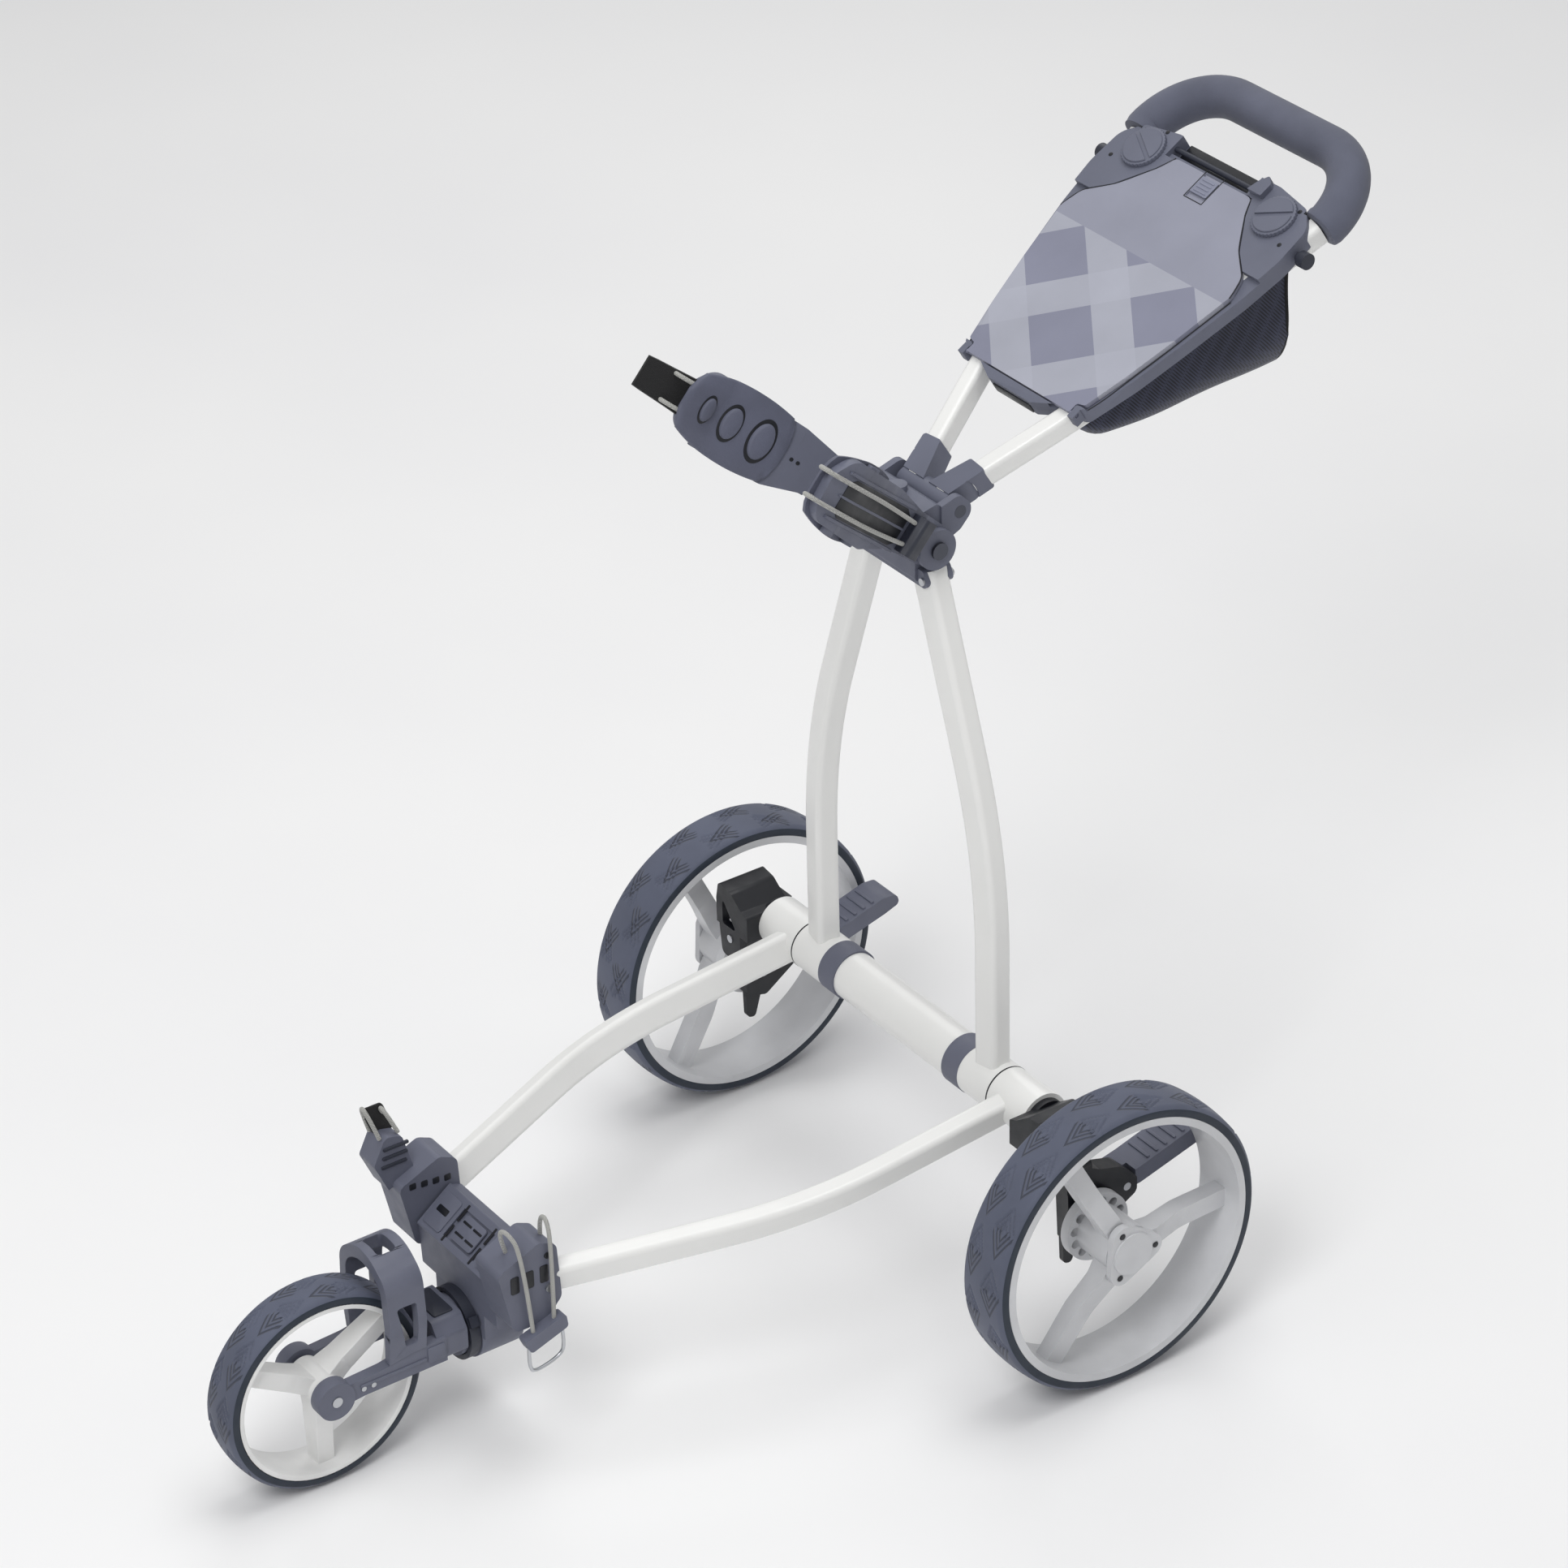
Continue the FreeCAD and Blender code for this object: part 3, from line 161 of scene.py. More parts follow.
def shade(colour, factor):
    return (*[value * factor for value in colour[:3]], 1.0)


def moulded(name, colour, roughness=0.55, grain=1100.0):
    """Moulded plastic: a fine spark-eroded grain, slightly uneven tone and duller patches."""
    made = Shader(name, roughness)
    patches = made.spread(made.noise(14.0, 4.0), 0.3, 0.7, 0.0, 1.0)
    made.colour(made.mix(patches, shade(colour, 0.9), shade(colour, 1.08)))
    made.rough(made.spread(made.noise(60.0), 0.3, 0.7, roughness - 0.07, roughness + 0.08))
    made.bump(made.noise(grain, 2.0), 0.22, 0.25)
    return made.material


def painted(name, colour):
    """Satin powder paint on metal tube: faint orange peel and a trace of dust low down."""
    made = Shader(name, 0.36, metallic=0.0, coat=0.25)
    tone = made.spread(made.noise(5.0, 5.0), 0.35, 0.65, 0.0, 1.0)
    made.colour(made.mix(tone, shade(colour, 0.95), colour))
    made.rough(made.spread(made.noise(220.0), 0.3, 0.7, 0.3, 0.42))
    made.bump(made.noise(420.0, 2.0), 0.12, 0.3)
    return made.material


def metal(name, colour, roughness):
    made = Shader(name, roughness, metallic=1.0)
    mapping = made.node("ShaderNodeMapping", Vector=made.place, Scale=(40.0, 900.0, 900.0))
    stretched = mapping.outputs["Vector"]
    lines = made.node("ShaderNodeTexNoise", Vector=stretched, Scale=1.0, Detail=2.0).outputs["Fac"]
    made.colour(made.mix(lines, shade(colour, 0.85), colour))
    made.rough(made.spread(lines, 0.3, 0.7, roughness - 0.06, roughness + 0.1))
    made.bump(lines, 0.08, 0.1)
    return made.material


def foam(name, colour, cell_scale, roughness=0.85):
    """Closed-cell foam or foam rubber: fine open pores and soft mottling."""
    made = Shader(name, roughness, sheen=0.12)
    tone = made.spread(made.noise(22.0, 5.0), 0.3, 0.7, 0.0, 1.0)
    made.colour(made.mix(tone, shade(colour, 0.86), shade(colour, 1.1)))
    made.bump(made.cells(cell_scale), 0.35, 0.35)
    return made.material


def woven(name, colour, scale, roughness=0.8):
    """A plain weave of crossing threads."""
    made = Shader(name, roughness, sheen=0.2)
    waves = []
    for direction in ((1.0, 0.7, 0.7), (-1.0, 0.7, 0.7)):
        wave = made.maths("SINE", made.maths("MULTIPLY", made.dot(made.place, direction), scale))
        waves.append(made.maths("ABSOLUTE", wave))
    threads = made.maths("MULTIPLY", *waves)
    made.colour(made.mix(threads, shade(colour, 0.6), shade(colour, 1.25)))
    made.bump(threads, 0.4, 0.4)
    return made.material


def net(name, colour):
    """Knitted mesh: small holes in a diamond lattice between lighter threads, the holes painted dark as
    painted shade seen through them, and soft patches painted lighter and darker as painted shade of the
    folds.
    """
    made = Shader(name, 0.8, sheen=0.25)
    waves = []
    for direction in ((0.55, 1.0, 0.9), (-0.55, 1.0, 0.9)):
        wave = made.maths("SINE", made.maths("MULTIPLY", made.dot(made.place, direction), 900.0))
        waves.append(made.maths("ABSOLUTE", wave))
    holes = made.maths("MULTIPLY", *waves)
    hole = made.spread(holes, 0.35, 0.6, 0.0, 1.0)
    # Painted shade and highlight of folds: the tone runs from 0.8 to 1.15 in soft patches.
    painted_fold_shade = made.spread(made.noise(9.0, 3.0), 0.3, 0.7, 0.8, 1.15)
    # The holes are painted at a quarter of the thread colour: painted shade seen through them.
    threads_and_hole_shade = made.mix(hole, colour, shade(colour, 0.25))
    tone = made.node("ShaderNodeHueSaturation", Color=threads_and_hole_shade, Value=painted_fold_shade)
    made.colour(tone.outputs["Color"])
    made.bump(hole, 0.5, -0.4)
    return made.material


def banded(name, plain, dark, light):
    """The lid's moulded plastic with a generic lattice of crossing diagonal bands."""
    made = Shader(name, 0.5)
    along = made.maths(
        "SUBTRACT", made.dot(made.place, tuple(HANDLE_ALONG)), HANDLE_PIVOT.dot(HANDLE_ALONG) + 0.1
    )
    across = made.dot(made.place, (1.0, 0.0, 0.0))
    steps = []
    for sign in (1.0, -1.0):
        slanted = made.maths("ADD", made.maths("MULTIPLY", across, sign * 0.8), along)
        ramp = made.maths("PINGPONG", made.maths("ADD", slanted, 0.045), 0.062)
        steps.append(made.maths("GREATER_THAN", ramp, 0.038))
    crossing = made.maths("MULTIPLY", *steps)
    either = made.maths("MAXIMUM", *steps)
    ends = made.maths("GREATER_THAN", made.maths("ABSOLUTE", made.maths("SUBTRACT", along, 0.1)), 0.078)
    field = made.mix(ends, made.mix(either, dark, made.mix(crossing, light, shade(light, 1.06))), plain)
    patches = made.spread(made.noise(16.0, 4.0), 0.3, 0.7, 0.94, 1.04)
    made.colour(made.node("ShaderNodeHueSaturation", Color=field, Value=patches).outputs["Color"])
    made.bump(made.noise(1300.0, 2.0), 0.2, 0.2)
    return made.material


# One chevron group of the tread: where each cut starts (mm), and its reach to each side as a share of half
# the tyre's width. The two rows of groups lie ROW_OFFSET of half the width from the middle.
CHEVRONS = ((-17.0, 0.42), (-8.0, 0.3), (0.0, 0.17))
CHEVRON_SLOPE = 2.0
ROW_OFFSET = 0.48


def tread_rubber(name, colour, spin, half, radius, count):
    """Foam-filled tyre rubber: two staggered rows of nested chevron cuts round the tread, painted at half
    the rubber's colour as painted shade in the cuts.
    """
    made = Shader(name, 0.72, sheen=0.1)
    cuts_and_cut_shade = chevrons(made, spin, half, radius, count)
    tone = made.spread(made.noise(18.0, 5.0), 0.3, 0.7, 0.0, 1.0)
    rubber = made.mix(tone, shade(colour, 0.88), shade(colour, 1.1))
    # The cuts are painted darker: painted shade in the grooves.
    made.colour(made.mix(cuts_and_cut_shade, rubber, shade(colour, 0.5)))
    grain = made.maths("MULTIPLY", made.noise(900.0, 2.0), 0.12)
    made.bump(made.maths("SUBTRACT", grain, cuts_and_cut_shade), 0.8, 1.2)
    return made.material


def chevrons(made, spin, half, radius, count):
    """1 inside the tread's cuts and 0 outside them, in metres round and across the wheel."""
    centre = spin["pos_m"]
    parts = made.node("ShaderNodeSeparateXYZ", Vector=made.place).outputs
    turned = made.maths(
        "ARCTAN2",
        made.maths("SUBTRACT", parts["Y"], centre[1]),
        made.maths("SUBTRACT", parts["Z"], centre[2]),
    )
    around = made.maths("MULTIPLY", turned, radius * MM)
    off_middle = made.maths("ABSOLUTE", parts["X"])
    if abs(centre[0]) > 0.01:
        off_middle = made.maths("SUBTRACT", off_middle, abs(centre[0]))
    else:
        off_middle = parts["X"]
    row = made.maths("SIGN", off_middle)
    row_middle = made.maths("MULTIPLY", row, half * ROW_OFFSET * MM)
    side = made.maths("ABSOLUTE", made.maths("SUBTRACT", off_middle, row_middle))
    cell = 2 * math.pi * radius / count * MM
    shifted = made.maths("ADD", around, made.maths("MULTIPLY", row, cell / 4))
    local = made.maths("SUBTRACT", made.maths("FLOORED_MODULO", shifted, cell), cell / 2)
    total = None
    for start, reach in CHEVRONS:
        swept = made.maths("MULTIPLY", side, CHEVRON_SLOPE)
        tip = made.maths("SUBTRACT", made.maths("SUBTRACT", local, start * MM), swept)
        line = made.spread(made.maths("ABSOLUTE", tip), 0.0012, 0.0026, 1.0, 0.0)
        line = made.maths("MULTIPLY", line, made.maths("LESS_THAN", side, half * reach * MM))
        total = line if total is None else made.maths("MAXIMUM", total, line)
    return total


GREY = rgba(100, 103, 118)
DARK = rgba(48, 51, 62)
BLACK = rgba(24, 26, 32)

PAINT = painted("frame_paint", rgba(238, 238, 236))
MOULDED = moulded("moulded_grey", GREY)
MOULDED_LIGHT = moulded("moulded_light", rgba(126, 129, 147), 0.5)
MOULDED_DARK = moulded("moulded_dark", DARK, 0.5)
MOULDED_BLACK = moulded("moulded_black", BLACK, 0.45)
RIM_GREY = moulded("rim_grey", rgba(205, 206, 209), 0.42, 700.0)
RIM_WHITE = moulded("rim_white", rgba(232, 232, 231), 0.4, 700.0)
STEEL = metal("steel", rgba(196, 198, 202), 0.35)
DARK_STEEL = metal("dark_steel", rgba(92, 94, 102), 0.4)
TYRES = {
    "rear": tread_rubber("tyre_rear", rgba(86, 91, 108), JOINTS["rear_wheel_spin_left"], 28, 144, 15),
    "front": tread_rubber("tyre_front", rgba(86, 91, 108), JOINTS["front_wheel_spin"], 21.5, 99, 11),
}
SIDEWALL = moulded("tyre_sidewall", rgba(40, 48, 60), 0.6)
FOAM = foam("grip_foam", rgba(90, 93, 108), 1500.0)
PAD = foam("pad_rubber", rgba(88, 91, 108), 1400.0, 0.6)
CORD = woven("elastic_cord", rgba(176, 176, 172), 2600.0)
WEB = woven("strap_web", rgba(20, 20, 22), 2200.0)
NET = net("net", rgba(62, 65, 84))
LID = banded("lid_bands", rgba(140, 142, 157), rgba(128, 130, 148), rgba(160, 162, 174))

NODE_MATERIALS = {
    "frame": (PAINT, ["base_leg_", "centre_tube", "mast_leg_", "handle_leg_"]),
    "steel": (
        STEEL,
        ["arm_hinge_pins", "lower_screws", "mast_screws", "stub_axle_"],
    ),
    "turning": (STEEL, ["brake_pin_", "wheel_bearings_", "front_axle", "axle_tube"]),
    "grey": (
        MOULDED,
        [
            "lower_bracket", "lower_cover", "lower_buckles", "spacer_rings", "mast_head", "cradle_arm_",
            "handle_hinge",
        ],
    ),
    "moving": (MOULDED, ["console_base", "fork", "mudguard", "brake_pedal_", "fold_button"]),
    "dark steel": (DARK_STEEL, ["handle_pin", "cradle_shaft"]),
    "light": (MOULDED_LIGHT, ["lid_latch"]),
    "dark": (MOULDED_DARK, ["swivel_collar", "cradle_clips", "accessory_studs", "card_rod"]),
    "black": (MOULDED_BLACK, ["axle_bracket_", "wheel_arm_"]),
    "rims": (RIM_GREY, ["rear_rim_", "hub_cap_"]),
    "front": (RIM_WHITE, ["front_rim"]),
    "lid": (LID, ["console_lid"]),
}


def paint_nodes():
    for material, prefixes in NODE_MATERIALS.values():
        for name, node in frame["nodes"].items():
            if any(name == prefix or (prefix[-1] == "_" and name.startswith(prefix)) for prefix in prefixes):
                node.data.materials.clear()
                node.data.materials.append(material)


def soften(name, width):
    """Rounds a moulded node's sharp edges."""
    node = frame["nodes"][name]
    weld = node.modifiers.new("weld", "WELD")
    weld.merge_threshold = 1e-5
    bevel = node.modifiers.new("edges", "BEVEL")
    bevel.width = width * MM
    bevel.segments = 2
    bevel.limit_method = "ANGLE"
    bevel.angle_limit = math.radians(40)
    bevel.use_clamp_overlap = True
    bevel.harden_normals = False


# ---------------------------------------------------------------- mesh helpers


def piece(name, verts, faces, material, body, slot, smooth=True, crease=40):
    """A mesh that rides on a body, with sharp edges where its faces meet at more than the crease angle."""
    mesh = bpy.data.meshes.new(name)
    mesh.from_pydata([tuple(v) for v in verts], [], faces)
    mesh.validate()
    work = bmesh.new()
    work.from_mesh(mesh)
    bmesh.ops.recalc_face_normals(work, faces=work.faces)
    for face in work.faces:
        face.smooth = smooth
    for edge in work.edges:
        if len(edge.link_faces) == 2 and edge.calc_face_angle(0.0) > math.radians(crease):
            edge.smooth = False
    work.to_mesh(mesh)
    work.free()
    made = bpy.data.objects.new(name, mesh)
    bpy.context.scene.collection.objects.link(made)
    mesh.materials.append(material)
    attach(made, body)
    return made


def grid_faces(rows, columns, closed_rows=False, closed_columns=True):
    """Faces of a grid of points listed row by row."""
    faces = []
    for i in range(rows if closed_rows else rows - 1):
        for j in range(columns if closed_columns else columns - 1):
            a, b = i * columns + j, i * columns + (j + 1) % columns
            c, d = ((i + 1) % rows) * columns + (j + 1) % columns, ((i + 1) % rows) * columns + j
            faces.append((a, b, c, d))
    return faces


def closed_loft(rings):
    """Points and faces of a solid lofted through closed rings of equal length, with flat ends."""
    count = len(rings[0])
    verts = [v for ring in rings for v in ring]
    faces = grid_faces(len(rings), count)
    faces.append(tuple(reversed(range(count))))
    faces.append(tuple(range(len(verts) - count, len(verts))))
    return verts, faces


def rounded_plate(place, centre, half_u, half_v, corner, low, high, bevel=0.8, steps=6):
    """A plate with round corners and eased edges; place(u, v, height) puts a point in the frame."""
    rings = []
    for inset, height in ((0.0, low), (0.0, high - bevel), (bevel * 0.3, high - bevel * 0.3), (bevel, high)):
        ring = []
        for quarter, (a, b) in enumerate(((1, 1), (-1, 1), (-1, -1), (1, -1))):
            for k in range(steps + 1):
                angle = math.radians(90 * quarter + 90 * k / steps)
                reach = corner - inset
                u = centre[0] + a * (half_u - corner) + reach * math.cos(angle)
                v = centre[1] + b * (half_v - corner) + reach * math.sin(angle)
                ring.append(place(u, v, height))
        rings.append(ring)
    return closed_loft(rings)


def disc(place, centre, radius, low, high, bevel=0.5, steps=32, scallop=0.0, lobes=0):
    """A turned disc with eased edges, scalloped round its rim if lobes are given."""
    rings = []
    for inset, height in ((0.0, low), (0.0, high - bevel), (bevel * 0.3, high - bevel * 0.3), (bevel, high)):
        ring = []
        for k in range(steps):
            angle = 2 * math.pi * k / steps
            reach = radius - inset - scallop * (0.5 + 0.5 * math.cos(lobes * angle))
            u, v = centre[0] + reach * math.cos(angle), centre[1] + reach * math.sin(angle)
            ring.append(place(u, v, height))
        rings.append(ring)
    return closed_loft(rings)


def joined(parts):
    """Several (points, faces) lists as one."""
    verts, faces = [], []
    for more_verts, more_faces in parts:
        start = len(verts)
        verts += more_verts
        faces += [tuple(i + start for i in face) for face in more_faces]
    return verts, faces


def wire(name, runs, radius, material, body):
    """Round cords or wires, each a smooth NURBS line through given control points."""
    curve = bpy.data.curves.new(name, "CURVE")
    curve.dimensions = "3D"
    curve.bevel_depth = radius * MM
    curve.bevel_resolution = 4
    curve.resolution_u = 16
    curve.use_fill_caps = True
    for points in runs:
        spline = curve.splines.new("NURBS")
        spline.points.add(len(points) - 1)
        for target, point in zip(spline.points, points):
            target.co = (*point, 1.0)
        spline.order_u = min(3, len(points))
        spline.use_endpoint_u = True
    made = bpy.data.objects.new(name, curve)
    bpy.context.scene.collection.objects.link(made)
    curve.materials.append(material)
    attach(made, body)
    return made


# ---------------------------------------------------------------- wheels


def tread_depth(around, across, cell, half):
    """How deep the tread is cut at a place: nested chevrons in two staggered rows."""
    row = 1 if across > 0 else -1
    local = (around + row * cell / 4) % cell - cell / 2
    side = abs(across - row * half * ROW_OFFSET)
    for start, reach in CHEVRONS:
        if side < half * reach and abs(local - start - CHEVRON_SLOPE * side) < 2.2:
            return 1.0
    return 0.0


def tyre(node, body, turns, cells):
    """A foam-filled tyre: crowned tread with shallow chevron cuts, a shoulder and a darker side band."""
    low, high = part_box(node)
    centre = (Vector(low) + Vector(high)) / 2
    half, radius = (high[0] - low[0]) / 2 / MM, (high[2] - low[2]) / 2 / MM
    shoulder = radius - 5.5
    seat = radius - 12.3
    profile = [(-half, seat), (-half, shoulder - 2), (-half + 0.6, shoulder), (-half + 2.2, shoulder + 1.8)]
    across_steps = 34
    for k in range(across_steps + 1):
        across = (-1 + 2 * k / across_steps) * (half - 4)
        profile.append((across, radius - 0.4 - 2.6 * (across / half) ** 2))
    profile += [(half - 2.2, shoulder + 1.8), (half - 0.6, shoulder), (half, shoulder - 2), (half, seat)]
    cell = 2 * math.pi * radius / cells
    verts = []
    for k in range(turns):
        angle = 2 * math.pi * k / turns
        for index, (across, reach) in enumerate(profile):
            if 4 <= index <= 4 + across_steps:
                reach -= 1.1 * tread_depth(angle * radius, across, cell, half)
            verts.append(
                centre + Vector((across, reach * math.cos(angle), reach * math.sin(angle))) * MM
            )
    rubber = TYRES[node.split("_")[0]]
    faces = grid_faces(turns, len(profile), True, True)
    made = piece(node + "_tread", verts, faces, rubber, body, "tyre_slate")
    made.data.materials.append(SIDEWALL)
    for face in made.data.polygons:
        offset = face.center - centre
        if Vector((0, offset.y, offset.z)).length < (shoulder - 0.5) * MM:
            face.material_index = 1
    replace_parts(made, node)


def hub_details():
    """Three dark screw heads on each hub cap."""
    for side, sign in SIDES:
        low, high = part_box("hub_cap_" + side)
        face = high[0] if sign > 0 else low[0]

        def on_cap(u, v, out, sign=sign, face=face):
            return Vector((face + sign * (out - 1.4) * MM, AXLE.y + u * MM, AXLE.z + v * MM))

        spots = [math.radians(-3 + 120 * k) for k in range(3)]
        places = [(25.5 * math.cos(a), 25.5 * math.sin(a)) for a in spots]
        heads = [disc(on_cap, place, 3.0, -2.0, 0.4, 0.4, 20) for place in places]
        piece("hub_screws_" + side, *joined(heads), MOULDED_BLACK, "rear_wheel_" + side, "moulded_black")


def wheels():
    for side, _ in SIDES:
        tyre("rear_tyre_" + side, "rear_wheel_" + side, 640, 15)
    tyre("front_tyre", "front_wheel", 480, 11)


# ---------------------------------------------------------------- handle and console


def grip():
    """The foam sleeve over the loop, with eased ends."""
    radius, corner, end, top = 19.3, 65.0, 387.0, 459.5
    path = [(124.0, end), (124.4, end + 4)]
    for k in range(25):
        angle = math.radians(90 * k / 24)
        path.append((126 - corner + corner * math.cos(angle), top - corner + corner * math.sin(angle)))
    path += [(30.0, top), (0.0, top)]
    path += [(-x, along) for x, along in reversed(path[:-1])]
    count, sides = len(path), 36
    rings = []
    for i, (x, along) in enumerate(path):
        before, after = path[max(i - 1, 0)], path[min(i + 1, count - 1)]
        heading = Vector((after[0] - before[0], after[1] - before[1])).normalized()
        outward = Vector((heading.y, -heading.x))
        for ease, shift in (((0.86, 0.0), (0.97, 1.2)) if i == 0 else ((1.0, 0.0),)):
            rings.append(ring_at(x, along, heading, outward, radius * ease, shift, sides))
    rings.append(ring_at(*path[-1], heading, outward, radius * 0.86, 0.0, sides))
    verts, faces = closed_loft(rings)
    made = piece("foam_grip", verts, faces, FOAM, "handle", "grip_foam")
    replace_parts(made, "handle_grip")


def ring_at(x, along, heading, outward, radius, shift, sides):
    """A circle round the grip's line."""
    ring = []
    for k in range(sides):
        angle = 2 * math.pi * k / sides
        out = radius * math.cos(angle)
        ring.append(
            handle(
                x + heading.x * shift + outward.x * out,
                along + heading.y * shift + outward.y * out,
                radius * math.sin(angle),
            )
        )
    return ring


def net_bag():
    """A sagging mesh bag between a hem under the tray and a deep open upper end."""
    low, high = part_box("net_bag")
    rise = HANDLE_ALONG.z / HANDLE_ALONG.y
    top_drop = 13.0 * MM / HANDLE_ALONG.y
    start, finish = low[1] + 0.002, high[1] - 0.001
    floor_low = low[2] + 0.001
    stations, around = 30, 40
    thickness = 0.0012

    def section(t, inset):
        y = start + (finish - start) * t
        top = HANDLE_PIVOT.z + (y - HANDLE_PIVOT.y) * rise - top_drop
        floor = floor_low + 0.030 * t ** 1.35 + 0.018 * max(0.0, 1 - t / 0.16) ** 2
        half = 0.0495 + 0.0335 * t
        ring = []
        for k in range(around + 1):
            s = -1 + 2 * k / around
            swell = (1 - abs(s) ** 4.5)
            bulge = 1 - 0.05 * math.sin(math.pi * min(1.0, (1 - abs(s)) * 2.2)) ** 2
            width = half * bulge * math.copysign(min(1.0, abs(s) * 1.9) ** 0.75, s)
            depth = (top - floor) * max(0.0, 1 - max(0.0, abs(s) - 0.42) / 0.58)
            fold = 0.0016 * math.sin(9 * t + 4 * s) * math.sin(math.pi * t) * swell
            ring.append(Vector((width * (1 - inset / half), y, top - depth + inset * (1 - abs(s)) + fold)))
        return ring

    verts = []
    for inset in (0.0, thickness):
        for i in range(stations + 1):
            verts += section(i / stations, inset)
    rows, columns = stations + 1, around + 1
    shell = rows * columns
    faces = grid_faces(rows, columns, False, False)
    faces += [tuple(reversed([i + shell for i in f])) for f in grid_faces(rows, columns, False, False)]
    for i in range(rows - 1):
        for j in (0, columns - 1):
            a, b = i * columns + j, (i + 1) * columns + j
            faces.append((a, b, b + shell, a + shell))
    for j in range(columns - 1):
        for i in (0, rows - 1):
            a, b = i * columns + j, i * columns + j + 1
            faces.append((a, b, b + shell, a + shell))
    made = piece("net_pocket", verts, faces, NET, "handle", "net", crease=70)
    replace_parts(made, "net_bag")
    front = section(0.0, 0.0)
    wall = piece("net_front_panel", front, [tuple(range(len(front)))], NET, "handle", "net")
    thick = wall.modifiers.new("thickness", "SOLIDIFY")
    thick.thickness = thickness
    hem = section(0.995, 0.0)[::2]
    wire("net_hem", [hem], 1.6, WEB, "handle")
    edges = []
    for j in (0, around):
        edges.append([section(t / 6, 0.0)[j] for t in range(7)])
    wire("net_side_hems", edges, 1.3, WEB, "handle")


def console_details():
    """Knobs with a slot and a knurled rim, a blank badge, screws, a black floor of painted shade in the
    recess and the latch's outline.
    """
    for side, sign in SIDES:
        centre = (sign * 91, 370)
        name = "console_knob_" + side
        base = disc(handle, centre, 22, 16.8, 20.6, 0.5, 144, 0.9, 36)
        halves = []
        for half_sign in (1, -1):
            ring = []
            for k in range(25):
                angle = math.radians(7 + 166 * k / 24)
                ring.append((19.2 * math.cos(angle), half_sign * 19.2 * math.sin(angle)))
            turn = math.radians(28) * sign
            rings = []
            for shrink, height in ((1.0, 20.4), (1.0, 21.6), (0.97, 22.2)):
                rings.append([
                    handle(
                        centre[0] + shrink * (u * math.cos(turn) - v * math.sin(turn)),
                        centre[1] + shrink * (u * math.sin(turn) + v * math.cos(turn)),
                        height,
                    )
                    for u, v in ring
                ])
            halves.append(closed_loft(rings))
        made = piece(name + "_cap", *joined([base, *halves]), MOULDED, name, "moulded_grey")
        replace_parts(made, name)

    def face_of_end(u, v, out):
        """Across, height and outward on the console's low end."""
        return handle(u, 112 - out, v)

    badge = rounded_plate(face_of_end, (0, 5.6), 27, 5.6, 2.0, -1.0, 1.2, 0.5)
    piece("console_badge", *badge, MOULDED_BLACK, "handle", "moulded_black")
    # Painted shade: a black floor deep in the recess.
    floor = rounded_plate(handle, (-11, 390), 54, 9.5, 1.0, 1.8, 2.6, 0.3)
    piece("console_recess_shade", *floor, MOULDED_BLACK, "handle", "moulded_black")
    dots = [disc(handle, (x, along), 2.2, 16.3, 16.9, 0.3, 20) for x, along in
            ((118, 350), (-118, 350), (60, 390), (-84, 394), (108, 386), (-108, 386))]
    piece("console_screws", *joined(dots), MOULDED_BLACK, "handle", "moulded_black")
    corners = [(-12.2, 348.5), (12.2, 348.5), (12.2, 380), (-12.2, 380)]
    runs = [
        [handle(*corners[k], 16.5), handle(*corners[(k + 1) % 4], 16.5)] for k in range(4)
    ]
    wire("latch_outline", runs, 0.5, MOULDED_BLACK, "console_lid")
    grips = [rounded_plate(handle, (0, 358 + 4 * k), 8, 0.8, 0.6, 16.8, 17.9, 0.3, 3) for k in range(4)]
    piece("latch_ribs", *joined(grips), MOULDED_LIGHT, "lid_latch", "moulded_grey")


def lid_seam():
    """A dark line where the lid meets the raised shoulders, and one along each side of the tray."""
    for side, sign in SIDES:
        seam = [
            (119.2, 285), (118, 292), (113, 307), (106, 312.5), (91, 324), (84, 330), (64, 356), (60, 361),
            (52.6, 376),
        ]
        runs = [[handle(sign * x, along, 16.35) for x, along in seam]]
        edge = [(84.6, 134), (90, 147), (96, 176), (103, 205), (108, 228), (114, 258), (119.5, 284)]
        runs.append([handle(sign * x, along, 11.8) for x, along in edge])
        wire("lid_seam_" + side, runs, 0.55, MOULDED_BLACK, "handle")


# ---------------------------------------------------------------- cradle


def arm_offset(along):
    """How far outwards a cradle arm's line has moved, that distance along it."""
    if along < 22:
        return 0.0
    if along < 92:
        return (along - 22) * 20 / 70
    if along < 160:
        return 20 + (along - 92) * 27 / 68
    return 47 + (along - 160) * 0.1


def box_lug(sign, along, height):
    """A small round-cornered lug standing past the edge of a cradle arm."""
    def on_edge(u, v, out):
        x = sign * (51.5 + arm_offset(along) + u)
        return cradle(x, along + v, height + (out if height > 0 else -out))

    return rounded_plate(on_edge, (0, 0), 3.2, 6, 2, -12, 1.5, 0.8, 4)


